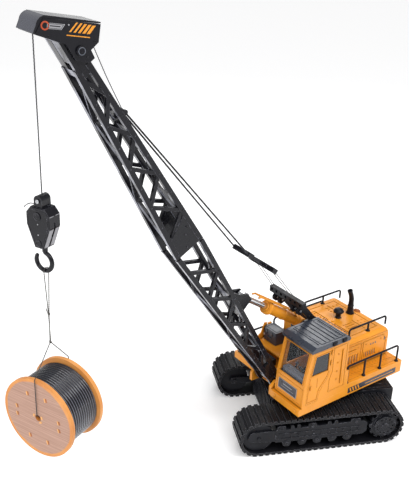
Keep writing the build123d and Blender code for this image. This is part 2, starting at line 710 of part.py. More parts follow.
def make_head():
    """Black head housing with its glossy cap, winch, sheave and stay line."""
    sheave_x = rope_x - head_sheave_r
    sheave_pin_r = 1.5
    with BuildPart() as head_housing:
        plate(side_plane(head_half), head_outline(0), 2 * head_half)
        plate(side_plane(head_half - head_skin), head_outline(head_skin), 2 * (head_half - head_skin),
              mode=Mode.SUBTRACT)
        block(396.5, 405.5, -4, 4, 600, 615, mode=Mode.SUBTRACT)
        rod((drum_x, -30, drum_z), (drum_x, 30, drum_z), 2.5 + run_gap, mode=Mode.SUBTRACT)
        pin_half = head_half - head_skin
        rod((sheave_x, -pin_half, head_sheave_z), (sheave_x, pin_half, head_sheave_z), sheave_pin_r)
    finish(head_housing, "head_housing")
    with BuildPart() as head_cap:
        with BuildSketch(side_plane(head_half)) as cap:
            with BuildLine():
                Polyline((410.6, 610.2), (408.0, 611.6), (399.8, 624.4), (338.6, 614.6), (338.4, 617.1),
                         (398.5, 627.0))
                ThreePointArc((398.5, 627.0), (404.4, 623.4), (407.8, 618.0))
                Line((407.8, 618.0), (410.6, 610.2))
            make_face()
        extrude(cap.sketch, amount=2 * head_half)
        nose = [(410.6, 610.2), (408.0, 611.6), (408.0, 608.9)]
        plate(side_plane(head_half), nose, 2 * head_half)
    finish(head_cap, "head_cap")
    with BuildPart() as winch_drum:
        rod((drum_x, -head_half - 2.6, drum_z), (drum_x, head_half + 2.6, drum_z), 2.5)
        rod((drum_x, -12, drum_z), (drum_x, 12, drum_z), 4.5)
        for side in (-1, 1):
            rod((drum_x, side * 12, drum_z), (drum_x, side * 13.5, drum_z), 6.2)
            knob_inner = (drum_x, side * (head_half + 0.3), drum_z)
            knob_outer = (drum_x, side * (head_half + 2.6), drum_z)
            rod(knob_inner, knob_outer, 5.0)
    finish(winch_drum, "winch_drum")
    with BuildPart() as winch_motor:
        rod((374, -15, 607.5), (374, 12, 607.5), 6.6)
    finish(winch_motor, "winch_motor")
    with BuildPart() as head_sheave:
        rod((sheave_x, -3, head_sheave_z), (sheave_x, 3, head_sheave_z), head_sheave_r - rope_r - 0.2)
        for side in (-1, 1):
            inner_rim = (sheave_x, side * 1.4, head_sheave_z)
            outer_rim = (sheave_x, side * 3, head_sheave_z)
            rod(inner_rim, outer_rim, head_sheave_r)
        rod((sheave_x, -4, head_sheave_z), (sheave_x, 4, head_sheave_z), sheave_pin_r + run_gap,
            mode=Mode.SUBTRACT)
    finish(head_sheave, "head_sheave")
    with BuildPart() as stay_line:
        cord([(340.2, 0, 597.6), (335.6, 0, 587.0), (322.0, 0, 556.0), (305.0, 0, 521.4)], 0.5)
    finish(stay_line, "stay_line")


def make_ram():
    """Luffing ram: barrel with its guard pipes, and the chromed rod."""
    along = Vector(ram_pin_x - ram_x, 0, ram_pin_z - ram_z)
    length = along.length
    axis = along.normalized()
    lift = Vector(-axis.Z, 0, axis.X)
    base = Vector(ram_x, 0, ram_z)

    def at(t, up=0.0, y=0.0):
        return base + axis * t + lift * up + Vector(0, y, 0)

    collar_t = 84.7
    with BuildPart() as ram_barrel:
        rod(at(6), at(collar_t - 6), ram_r)
        rod(at(collar_t - 8), at(collar_t), ram_r + 1.8)
        rod(at(0, y=-5.5), at(0, y=5.5), 7.0)
        rod(at(14), at(collar_t - 6), 5.5, mode=Mode.SUBTRACT)
        rod(at(collar_t - 6), at(collar_t), ram_rod_r + run_gap, mode=Mode.SUBTRACT)
        rod(at(0, y=-6), at(0, y=6), 2.5 + run_gap, mode=Mode.SUBTRACT)
    finish(ram_barrel, "ram_barrel")
    with BuildPart() as ram_rod:
        rod(at(38), at(length - 7), ram_rod_r)
        rod(at(36), at(42), 5.4)
        rod(at(length, y=-4.5), at(length, y=4.5), 7.6)
        rod(at(length, y=-5), at(length, y=5), 5.2, mode=Mode.SUBTRACT)
    finish(ram_rod, "ram_rod")
    with BuildPart() as guard_pipes:
        for y in (-7.0, 7.0):
            cord([at(22, ram_r - 2.8, y), at(30, 10.5, y), at(108, 10.5, y), at(113, 8.0, y)], 1.3)
        for t in (62, 90, 108):
            rod(at(t, 10.5, -7), at(t, 10.5, 7), 1.1)
        rod(at(0, y=0), at(collar_t - 8), ram_r, mode=Mode.SUBTRACT)
    finish(guard_pipes, "guard_pipes")


def make_bridle():
    """Luffing lines: four wires, the two-bar equalizer and the pendants to the boom."""
    wire_r = 0.45
    with BuildPart() as bridle_wires:
        for y_low, y_high in ((-29, -22), (-21, -12), (13, 12), (23, 22)):
            low_end = (gantry_x + 3.2, y_low, gantry_z + 4.6)
            high_end = (bar_lower[0] - 4.8, y_high, bar_lower[1] - 5.2)
            rod(low_end, high_end, wire_r)
    finish(bridle_wires, "bridle_wires")
    lower = Vector(bar_lower[0], 0, bar_lower[1])
    upper = Vector(bar_upper[0], 0, bar_upper[1])
    along = (upper - lower).normalized()
    with BuildPart() as equalizer:
        for centre, half in ((lower, 25.0), (upper, 17.0)):
            strut(centre + Vector(0, -half, 0), centre + Vector(0, half, 0), 9, 7, across=tuple(along))
        for y in (-9.0, 9.0):
            strut(lower + Vector(0, y, 0), upper + Vector(0, y, 0), 4, 3)
        for y in (-22.0, -12.0, 12.0, 22.0):
            rod(lower + Vector(0, y, 0) - along * 6.0, lower + Vector(0, y, 0), 1.6)
    finish(equalizer, "equalizer")
    with BuildPart() as pendants:
        stay = Vector(stay_x, 0, stay_z)
        for y_low, y_high in ((-15.0, -5.0), (15.0, 5.0)):
            start = upper + Vector(0, y_low, 0) + along * 5.1
            end = stay + Vector(0, y_high, 0)
            rod(start, end, 1.1)
            rod(end - Vector(0, 1.3, 0), end + Vector(0, 1.3, 0), 3.0)
    finish(pendants, "pendants")


def make_hook():
    """Hoist rope, hook block with its sheave, swivelling hook and the sling of the reel."""
    with BuildPart() as hoist_rope:
        rod((rope_x, 0, block_top - 1.5), (rope_x, 0, rope_top), rope_r)
    finish(hoist_rope, "hoist_rope")
    shank_r = 3.2
    eye_half = 5.6
    neck_half = 7.0
    sheave_r = 7.4
    shoulder = 16.0
    cheek = [(-9.5, 428), (-shoulder, 420.5), (-shoulder, 406.7), (-6, block_bottom), (6, block_bottom),
             (shoulder, 406.7), (shoulder, 420.5), (9.5, 428)]
    out = hang_point(1, 0, 0) - hang_point(0, 0, 0)
    with BuildPart() as hook_block:
        plate(hang_plane(-block_half), cheek, 2 * block_half)
        faces = hook_block.faces().sort_by(Axis((0, 0, 0), tuple(out)))
        chamfer(faces[0].edges() + faces[-1].edges(), 0.9)
        disc(hang_plane(-neck_half), eye_half, 2 * neck_half, at=(0, block_top - eye_half))
        neck_top = block_top - eye_half
        neck = [(-eye_half, 424), (eye_half, 424), (eye_half, neck_top), (-eye_half, neck_top)]
        plate(hang_plane(-neck_half), neck, 2 * neck_half)
        disc(hang_plane(-4.4), sheave_r + 0.8, 8.8, at=(0, block_pin_z), mode=Mode.SUBTRACT)
        plate(hang_plane(-1.1), [(-30, 394), (30, 394), (30, 412.5), (-30, 412.5)], 2.2, mode=Mode.SUBTRACT)
        rod((rope_x, 0, block_top - 14), (rope_x, 0, block_top + 1), rope_r + 0.6, mode=Mode.SUBTRACT)
        rod(hang_point(-block_half - 0.8, 0, block_pin_z), hang_point(block_half + 0.8, 0, block_pin_z), 2.0)
        for n in (-1, 1):
            screw_in = hang_point(n * (neck_half - 0.1), 0, 434.8)
            screw_out = hang_point(n * (neck_half + 1.0), 0, 434.8)
            rod(screw_in, screw_out, 2.2)
        rod((rope_x, 0, block_bottom - 1), (rope_x, 0, 392.5), shank_r + run_gap, mode=Mode.SUBTRACT)
        rod((rope_x, 0, 384.6), (rope_x, 0, 391.1), 4.9, mode=Mode.SUBTRACT)
    finish(hook_block, "hook_block")
    with BuildPart() as block_sheave:
        rod(hang_point(-4, 0, block_pin_z), hang_point(4, 0, block_pin_z), sheave_r)
        with BuildSketch(hang_plane(-1.4)) as groove:
            with Locations((0, block_pin_z)):
                Circle(sheave_r + 2)
                Circle(sheave_r - 1.4, mode=Mode.SUBTRACT)
        extrude(groove.sketch, amount=2.8, mode=Mode.SUBTRACT)
        rod(hang_point(-6, 0, block_pin_z), hang_point(6, 0, block_pin_z), 2.0 + run_gap, mode=Mode.SUBTRACT)
    finish(block_sheave, "block_sheave")
    with BuildPart() as lifting_hook:
        rod((rope_x, 0, 385.6), (rope_x, 0, 390.2), 4.6)
        rod((rope_x, 0, hook_z + hook_r - 2), (rope_x, 0, 386.6), shank_r)
        with BuildLine(hang_plane(0)) as bend:
            CenterArc((-2, hook_z), hook_r, 150, 288)
        with BuildSketch(Plane(bend.line @ 0, z_dir=bend.line % 0)) as wire:
            Circle(hook_wire)
        sweep(wire.sketch, path=bend.line)
        with Locations(bend.line @ 0):
            Sphere(hook_wire)
    finish(lifting_hook, "lifting_hook")
    sling_w = hook_z - hook_r
    eye_r = hook_wire + string_r + 0.4
    rim = reel_half + string_r + 0.9
    with BuildPart() as reel_sling:
        eye = []
        for a in range(0, 181, 30):
            eye.append(hang_point(eye_r * cos(radians(a)), 0, sling_w + eye_r * sin(radians(a))))
        knot = hang_point(0, 0, knot_z)
        cord([knot] + eye + [knot], string_r)
        with Locations(knot):
            Sphere(1.6)
        apex = hang_point(0, 0, apex_z)
        hang_z = reel_z + bore_r - string_r - 0.5
        cord([knot, apex, hang_point(rim, 0, reel_z + reel_r + 1.5), hang_point(rim, 0, hang_z),
              hang_point(-rim, 0, hang_z), hang_point(-rim, 0, reel_z + reel_r + 1.5), apex], string_r)
        with Locations(apex):
            Sphere(1.3)
    finish(reel_sling, "reel_sling")


def make_reel():
    """Cable reel: two bored flanges and the winding on its core."""
    slots = [(i * w, reel_z + j * z) for w, z in ((31.5, 5.4), (13.5, 29.5))
             for i in (-1, 1) for j in (-1, 1)]
    for word, start in (("front", reel_half), ("back", -reel_half + flange_t)):
        with BuildPart() as reel_flange:
            with BuildSketch(hang_plane(start)) as face:
                with Locations((0, reel_z)):
                    Circle(reel_r)
                    Circle(bore_r, mode=Mode.SUBTRACT)
                with Locations(*slots):
                    SlotOverall(5.2, 2.6, rotation=90, mode=Mode.SUBTRACT)
            extrude(face.sketch, amount=-flange_t)
        finish(reel_flange, f"reel_flange_{word}")
    with BuildPart() as cable_winding:
        inner = reel_half - flange_t
        turn_pitch = 2 * inner / winding_turns
        with BuildSketch(hang_plane(inner)) as barrel:
            with Locations((0, reel_z)):
                Circle(winding_r - 1.6)
                Circle(winding_r - 9, mode=Mode.SUBTRACT)
        extrude(barrel.sketch, amount=-2 * inner)
        with BuildSketch(hang_plane(inner)) as core:
            with Locations((0, reel_z)):
                Circle(bore_r + 3)
                Circle(bore_r, mode=Mode.SUBTRACT)
                for turn in (0, 60, 120):
                    Rectangle(2 * winding_r - 14, 3, rotation=turn)
                Circle(bore_r, mode=Mode.SUBTRACT)
        extrude(core.sketch, amount=-2 * inner)
        for i in range(winding_turns):
            n = -inner + (i + 0.5) * turn_pitch
            with BuildSketch(hang_plane(n + 1.3)) as turn_ring:
                with Locations((0, reel_z)):
                    Circle(winding_r)
                    Circle(winding_r - 3, mode=Mode.SUBTRACT)
            extrude(turn_ring.sketch, amount=-2.6)
    finish(cable_winding, "cable_winding")


# ---- run everything --------------------------------------------------------------------------

make_car_body()
make_battery()
make_drive_motors()
make_slew_gear()
for track_side, word in ((1, "left"), (-1, "right")):
    make_track_frame(track_side, f"track_frame_{word}")
    make_track_belt(track_side, f"track_belt_{word}")
    make_drive_sprocket(track_side, f"drive_sprocket_{word}")
    make_idler_wheel(track_side, f"idler_wheel_{word}")
make_turntable()
make_house_deck()
make_inner_house()
make_engine_hood()
make_cab()
make_house_trim()
make_gantry()
make_brackets()
make_boom()
make_head()
make_ram()
make_bridle()
make_hook()
make_reel()
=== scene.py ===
"""Toy crawler crane with a cable reel: materials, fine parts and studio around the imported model."""
import bmesh
import bpy
import json
from math import atan2, cos, radians, sin, tau
from mathutils import Matrix, Vector


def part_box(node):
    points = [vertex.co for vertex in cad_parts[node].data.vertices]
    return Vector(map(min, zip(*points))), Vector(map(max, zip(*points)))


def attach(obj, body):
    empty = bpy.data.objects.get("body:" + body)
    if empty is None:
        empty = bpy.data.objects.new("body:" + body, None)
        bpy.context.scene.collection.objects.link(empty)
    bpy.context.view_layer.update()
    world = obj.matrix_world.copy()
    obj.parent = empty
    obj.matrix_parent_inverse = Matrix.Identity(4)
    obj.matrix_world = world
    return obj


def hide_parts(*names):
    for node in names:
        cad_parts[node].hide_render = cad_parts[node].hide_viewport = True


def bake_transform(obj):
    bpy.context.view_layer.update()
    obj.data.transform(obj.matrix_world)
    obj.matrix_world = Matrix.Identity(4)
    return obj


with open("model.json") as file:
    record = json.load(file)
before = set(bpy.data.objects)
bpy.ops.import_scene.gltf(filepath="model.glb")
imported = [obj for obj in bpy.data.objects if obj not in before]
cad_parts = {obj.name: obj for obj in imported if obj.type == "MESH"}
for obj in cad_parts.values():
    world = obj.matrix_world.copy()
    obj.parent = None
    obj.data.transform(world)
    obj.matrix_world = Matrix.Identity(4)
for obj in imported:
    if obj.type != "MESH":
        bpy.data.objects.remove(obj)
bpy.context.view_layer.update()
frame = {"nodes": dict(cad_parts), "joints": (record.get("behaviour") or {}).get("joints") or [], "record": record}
MM = 0.001


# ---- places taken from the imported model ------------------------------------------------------

def joint(name):
    """The record's joint of that name."""
    return next(j for j in frame["joints"] if j["name"] == name)


# ---- camera, light and floor -----------------------------------------------------------------

CAMERA_AT = Vector((0.7057, 0.7084, 0.7316))
AZIMUTH = radians(143.8)
ELEVATION = radians(23.3)
ROLL = radians(1.9)
FRAME_HEIGHT = 481
FOCAL = 764.3


def make_camera():
    """Camera at the reference view, upright frame 409 by 481."""
    back = Vector((sin(AZIMUTH) * cos(ELEVATION), -cos(AZIMUTH) * cos(ELEVATION), sin(ELEVATION)))
    right = Vector((0, 0, 1)).cross(back).normalized()
    up = back.cross(right)
    rolled_right = right * cos(ROLL) + up * sin(ROLL)
    rolled_up = up * cos(ROLL) - right * sin(ROLL)
    data = bpy.data.cameras.new("camera")
    data.sensor_width = 36.0
    data.lens = data.sensor_width * FOCAL / FRAME_HEIGHT
    data.shift_x = -0.0019
    data.shift_y = -0.0258
    data.clip_start = 0.05
    data.clip_end = 200.0
    camera = bpy.data.objects.new("camera", data)
    camera.matrix_world = Matrix.Translation(CAMERA_AT) @ Matrix(
        (rolled_right, rolled_up, back)).transposed().to_4x4()
    bpy.context.scene.collection.objects.link(camera)
    bpy.context.scene.camera = camera


def area_light(name, at, towards, size, power):
    """A soft square light aimed at a point."""
    data = bpy.data.lights.new(name, "AREA")
    data.size = size
    data.energy = power
    light = bpy.data.objects.new(name, data)
    aim = Vector(towards) - Vector(at)
    light.matrix_world = Matrix.Translation(at) @ aim.to_track_quat("-Z", "Y").to_matrix().to_4x4()
    bpy.context.scene.collection.objects.link(light)


def make_studio():
    """White surroundings, soft lights and a wide pale floor."""
    scene = bpy.context.scene
    scene.view_settings.view_transform = "Standard"
    world = bpy.data.worlds.new("studio")
    scene.world = world
    world.use_nodes = True
    tree = world.node_tree
    backdrop = tree.nodes["Background"]
    backdrop.inputs["Color"].default_value = (1, 1, 1, 1)
    seen = tree.nodes.new("ShaderNodeLightPath").outputs["Is Camera Ray"]
    strength = tree.nodes.new("ShaderNodeMapRange")
    tree.links.new(seen, strength.inputs["Value"])
    strength.inputs["To Min"].default_value = 0.40
    strength.inputs["To Max"].default_value = 0.97
    tree.links.new(strength.outputs["Result"], backdrop.inputs["Strength"])
    middle = (0.1, 0.0, 0.15)
    area_light("key_light", (-0.6, 1.2, 1.7), middle, 0.7, 15)
    area_light("fill_light", (1.6, 0.3, 1.0), middle, 1.0, 7)
    area_light("rim_light", (-0.9, -1.2, 1.3), middle, 0.8, 8)
    data = bpy.data.lights.new("sun", "SUN")
    data.energy = 1.5
    data.angle = radians(50)
    sun = bpy.data.objects.new("sun", data)
    sun.matrix_world = Vector((0.25, 0.55, 1.0)).to_track_quat("Z", "Y").to_matrix().to_4x4()
    scene.collection.objects.link(sun)
    mesh = bpy.data.meshes.new("floor")
    half = 60.0
    mesh.from_pydata([(-half, -half, 0), (half, -half, 0), (half, half, 0), (-half, half, 0)], [],
                     [(0, 1, 2, 3)])
    floor = bpy.data.objects.new("floor", mesh)
    scene.collection.objects.link(floor)
    paint = bpy.data.materials.new("floor_paint")
    paint.use_nodes = True
    shader = paint.node_tree.nodes["Principled BSDF"]
    shader.inputs["Base Color"].default_value = (0.93, 0.93, 0.935, 1)
    shader.inputs["Roughness"].default_value = 0.75
    shader.inputs["Emission Color"].default_value = (1, 1, 1, 1)
    shader.inputs["Emission Strength"].default_value = 0.22
    mesh.materials.append(paint)


# ---- materials -------------------------------------------------------------------------------

class Nodes:
    """Short way to build a node material."""

    def __init__(self, name):
        self.material = bpy.data.materials.new(name)
        self.material.use_nodes = True
        self.tree = self.material.node_tree
        self.shader = self.tree.nodes["Principled BSDF"]
        self.place = self.add("ShaderNodeTexCoord").outputs["Object"]

    def add(self, kind, links=None, **values):
        """A node with its properties set and its inputs linked or filled."""
        node = self.tree.nodes.new(kind)
        for key, value in values.items():
            setattr(node, key, value)
        for key, value in (links or {}).items():
            socket = node.inputs[key]
            if isinstance(value, bpy.types.NodeSocket):
                self.tree.links.new(value, socket)
            else:
                socket.default_value = value
        return node

    def link(self, output, name):
        """Link an output to an input of the main shader."""
        self.tree.links.new(output, self.shader.inputs[name])

    def noise(self, scale, detail=3.0, place=None, rough=0.5):
        """Noise from 0 to 1."""
        node = self.add("ShaderNodeTexNoise", {"Scale": scale, "Detail": detail, "Roughness": rough,
                                               "Vector": place or self.place})
        return node.outputs["Fac"]

    def span(self, value, low, high, to_low=0.0, to_high=1.0):
        """Map a value's range onto another."""
        node = self.add("ShaderNodeMapRange", {"Value": value, "From Min": low, "From Max": high,
                                               "To Min": to_low, "To Max": to_high})
        return node.outputs["Result"]

    def math(self, operation, a, b=0.0):
        """One arithmetic step."""
        return self.add("ShaderNodeMath", {0: a, 1: b}, operation=operation).outputs[0]

    def mix(self, factor, a, b):
        """Mix two colours."""
        node = self.add("ShaderNodeMix", {0: factor}, data_type="RGBA")
        for index, value in ((6, a), (7, b)):
            if isinstance(value, bpy.types.NodeSocket):
                self.tree.links.new(value, node.inputs[index])
            else:
                node.inputs[index].default_value = (*value, 1)
        return node.outputs[2]

    def roughness(self, value, low, high):
        """Let a noise value carry the roughness from low to high."""
        self.link(self.span(value, 0.3, 0.7, low, high), "Roughness")

    def soft_normal(self, radius):
        """Rounded-edge normal, and how far it departs from the flat one."""
        rounded = self.add("ShaderNodeBevel", {"Radius": radius}, samples=6).outputs["Normal"]
        flat = self.add("ShaderNodeNewGeometry").outputs["Normal"]
        dot = self.add("ShaderNodeVectorMath", {0: rounded, 1: flat}, operation="DOT_PRODUCT")
        edge = self.span(dot.outputs["Value"], 0.995, 0.80)
        return rounded, edge

    def bump(self, height, strength, distance, normal=None):
        """Bump from a height value."""
        links = {"Height": height, "Strength": strength, "Distance": distance}
        if normal:
            links["Normal"] = normal
        return self.add("ShaderNodeBump", links).outputs["Normal"]


def moulded(name, color, rough, wear_and_highlight_color, edge_mm=0.5, grain=0.10, coat=0.0, wear_and_highlight_amount=0.5, cloud=0.10, shine=0.5,
            painted_crevice_shade=0.0, painted_sheen_way=None):
    """Moulded part: mottled colour, lighter edges that are partly rubbed wear and partly a painted highlight, fine
    grain, painted shade in crevices, and a painted sheen on faces turned one way.
    """
    n = Nodes(name)
    rounded, edge = n.soft_normal(edge_mm * MM)
    big = n.noise(26, 4)
    dark = tuple(c * (1 - cloud) for c in color)
    light = tuple(min(1.0, c * (1 + cloud)) for c in color)
    base = n.mix(n.span(big, 0.35, 0.65), dark, light)
    # Lighter colour on the edges, in patches: partly rubbed wear, partly a painted highlight.
    patch = n.span(n.noise(140, 5), 0.45, 0.62)
    wear_and_highlight = n.math("MULTIPLY", n.math("MULTIPLY", edge, patch), wear_and_highlight_amount)
    paint = n.mix(wear_and_highlight, base, wear_and_highlight_color)
    if painted_crevice_shade:
        # Painted shade: a darker colour where ambient occlusion finds crevices and recesses.
        open_sky = n.add("ShaderNodeAmbientOcclusion", {"Distance": 4 * MM}, samples=8).outputs["AO"]
        paint = n.mix(n.span(open_sky, 0.30, 0.90, painted_crevice_shade, 0.0), paint, tuple(c * 0.16 for c in color))
    if painted_sheen_way:
        # Painted sheen: a pale grey-blue on faces turned one way, standing in for a reflection.
        facing = n.add("ShaderNodeTexCoord").outputs["Normal"]
        dot = n.add("ShaderNodeVectorMath", {0: facing, 1: painted_sheen_way}, operation="DOT_PRODUCT")
        streak = n.span(n.noise(34, 4), 0.42, 0.60)
        paint = n.mix(n.math("MULTIPLY", n.span(dot.outputs["Value"], 0.90, 0.97, 0.0, 0.9), streak), paint,
                      (0.30, 0.31, 0.37))
    n.link(paint, "Base Color")
    n.roughness(n.noise(70, 3), rough - 0.07, rough + 0.09)
    n.link(n.bump(n.noise(1100, 2), grain, 0.2 * MM, rounded), "Normal")
    n.shader.inputs["Specular IOR Level"].default_value = shine
    n.shader.inputs["Coat Weight"].default_value = coat
    n.shader.inputs["Coat Roughness"].default_value = 0.12
    return n.material


def rubber_material():
    """Black track rubber with dust, and lighter edges that are partly rubbed wear and partly a painted highlight.
    """
    n = Nodes("track_rubber")
    rounded, edge = n.soft_normal(0.4 * MM)
    dusty = n.span(n.noise(45, 5), 0.45, 0.75)
    base = n.mix(n.math("MULTIPLY", dusty, 0.5), (0.006, 0.006, 0.008), (0.026, 0.025, 0.026))
    # Lighter edges: partly rubbed wear, partly a painted highlight.
    n.link(n.mix(n.math("MULTIPLY", edge, 1.0), base, (0.30, 0.30, 0.34)), "Base Color")
    n.roughness(n.noise(90, 3), 0.42, 0.62)
    n.shader.inputs["Specular IOR Level"].default_value = 0.25
    n.link(n.bump(n.noise(800, 3), 0.25, 0.3 * MM, rounded), "Normal")
    return n.material


def metal_material(name, color, rough, scratch=0.15):
    """Bare metal with fine drawn lines."""
    n = Nodes(name)
    rounded = n.soft_normal(0.2 * MM)[0]
    stretch = n.add("ShaderNodeMapping", {"Vector": n.place, "Scale": (1.0, 14.0, 1.0)}).outputs[0]
    lines = n.noise(260, 3, stretch)
    n.link(n.mix(n.span(lines, 0.3, 0.7), tuple(c * 0.85 for c in color), color), "Base Color")
    n.roughness(lines, rough, rough + scratch)
    n.link(n.bump(lines, 0.08, 0.1 * MM, rounded), "Normal")
    n.shader.inputs["Metallic"].default_value = 1.0
    return n.material


def glass_material(name, dark, light, alpha):
    """Clear or smoked plastic with faint waves."""
    n = Nodes(name)
    n.link(n.mix(n.noise(30, 2), dark, light), "Base Color")
    n.roughness(n.noise(50, 2), 0.03, 0.08)
    n.link(n.bump(n.noise(18, 2), 0.03, 0.5 * MM), "Normal")
    n.shader.inputs["Transmission Weight"].default_value = 0.0
    n.shader.inputs["Alpha"].default_value = alpha
    return n.material


def reel_coordinates(n):
    """Distance along the reel's axis, across it and upward from its centre."""
    spin = joint("reel_spin")
    centre = Vector(spin["pos_m"])
    axis = Vector(spin["axis"])
    offset = n.add("ShaderNodeVectorMath", {0: n.place, 1: centre}, operation="SUBTRACT").outputs[0]
    along = n.add("ShaderNodeVectorMath", {0: offset, 1: axis}, operation="DOT_PRODUCT").outputs["Value"]
    side = Vector((-axis.y, axis.x, 0))
    across = n.add("ShaderNodeVectorMath", {0: offset, 1: side}, operation="DOT_PRODUCT").outputs["Value"]
    upward = n.add("ShaderNodeVectorMath", {0: offset, 1: (0, 0, 1)}, operation="DOT_PRODUCT")
    return along, across, upward.outputs["Value"]


def wood_material(outer_face, rim_r):
    """Reel flange: pale pink-brown grained outer face, orange-tan rim and inner face."""
    n = Nodes("reel_wood")
    along, across, upward = reel_coordinates(n)
    rings = n.add("ShaderNodeCombineXYZ", {0: across, 1: upward, 2: 0.0}).outputs[0]
    radius = n.add("ShaderNodeVectorMath", {0: rings}, operation="LENGTH").outputs["Value"]
    tilt = n.add("ShaderNodeMapping", {"Vector": rings, "Rotation": (0, 0, radians(12)),
                                       "Scale": (12.0, 620.0, 1.0)}).outputs[0]
    streak = n.noise(1.0, 5, tilt, 0.65)
    fine = n.add("ShaderNodeMapping", {"Vector": rings, "Rotation": (0, 0, radians(12)),
                                       "Scale": (40.0, 1500.0, 1.0)}).outputs[0]
    fibre = n.noise(1.0, 3, fine)
    pale = n.mix(n.span(streak, 0.36, 0.64), (0.36, 0.195, 0.135), (0.52, 0.315, 0.235))
    pale = n.mix(n.span(fibre, 0.55, 0.80, 0.0, 0.55), pale, (0.27, 0.13, 0.085))
    cloud = n.noise(38, 4)
    tan = n.mix(n.span(cloud, 0.3, 0.7), (0.60, 0.215, 0.040), (0.76, 0.33, 0.085))
    face = n.span(n.math("ABSOLUTE", along), outer_face - 0.5 * MM, outer_face - 0.1 * MM)
    wobble = n.math("ADD", radius, n.span(n.noise(60, 3), 0.3, 0.7, -0.8 * MM, 0.8 * MM))
    inside = n.span(wobble, rim_r - 3.5 * MM, rim_r - 4.6 * MM)
    n.link(n.mix(n.math("MULTIPLY", face, inside), tan, pale), "Base Color")
    n.roughness(streak, 0.42, 0.60)
    n.link(n.bump(n.math("ADD", streak, n.math("MULTIPLY", fibre, 0.4)), 0.30, 0.35 * MM), "Normal")
    return n.material


def cable_material(pitch, first):
    """Glossy black cable with a painted highlight on the crest of each turn."""
    n = Nodes("cable_black")
    along = reel_coordinates(n)[0]
    turn = n.math("FRACT", n.math("DIVIDE", n.math("ADD", along, first), pitch))
    # Painted highlight: a light stripe on each turn's crest, in patches.
    painted_crest_highlight = n.span(n.math("ABSOLUTE", n.math("SUBTRACT", turn, 0.5)), 0.20, 0.06)
    patch = n.span(n.noise(60, 3), 0.30, 0.62, 0.35, 1.0)
    wear_and_highlight = n.math("MULTIPLY", painted_crest_highlight, patch)
    n.link(n.mix(wear_and_highlight, (0.006, 0.007, 0.012), (0.17, 0.175, 0.21)), "Base Color")
    n.roughness(n.noise(70, 3), 0.16, 0.26)
    n.link(n.bump(n.noise(900, 2), 0.08, 0.2 * MM), "Normal")
    n.shader.inputs["Coat Weight"].default_value = 0.4
    return n.material


def cord_material(name, dark, light):
    """Twisted thread."""
    n = Nodes(name)
    twist = n.add("ShaderNodeTexWave", {"Vector": n.place, "Scale": 320.0, "Distortion": 1.5,
                                        "Detail": 2.0}, bands_direction="DIAGONAL").outputs["Fac"]
    n.link(n.mix(twist, dark, light), "Base Color")
    n.link(n.bump(twist, 0.5, 0.2 * MM), "Normal")
    n.roughness(n.noise(400, 2), 0.6, 0.85)
    return n.material


ORANGE = (0.76, 0.285, 0.018)
# Lighter orange for edges, partly rubbed wear and partly a painted highlight.
ORANGE_WEAR_AND_HIGHLIGHT = (0.97, 0.60, 0.17)
BLACK = (0.008, 0.008, 0.011)
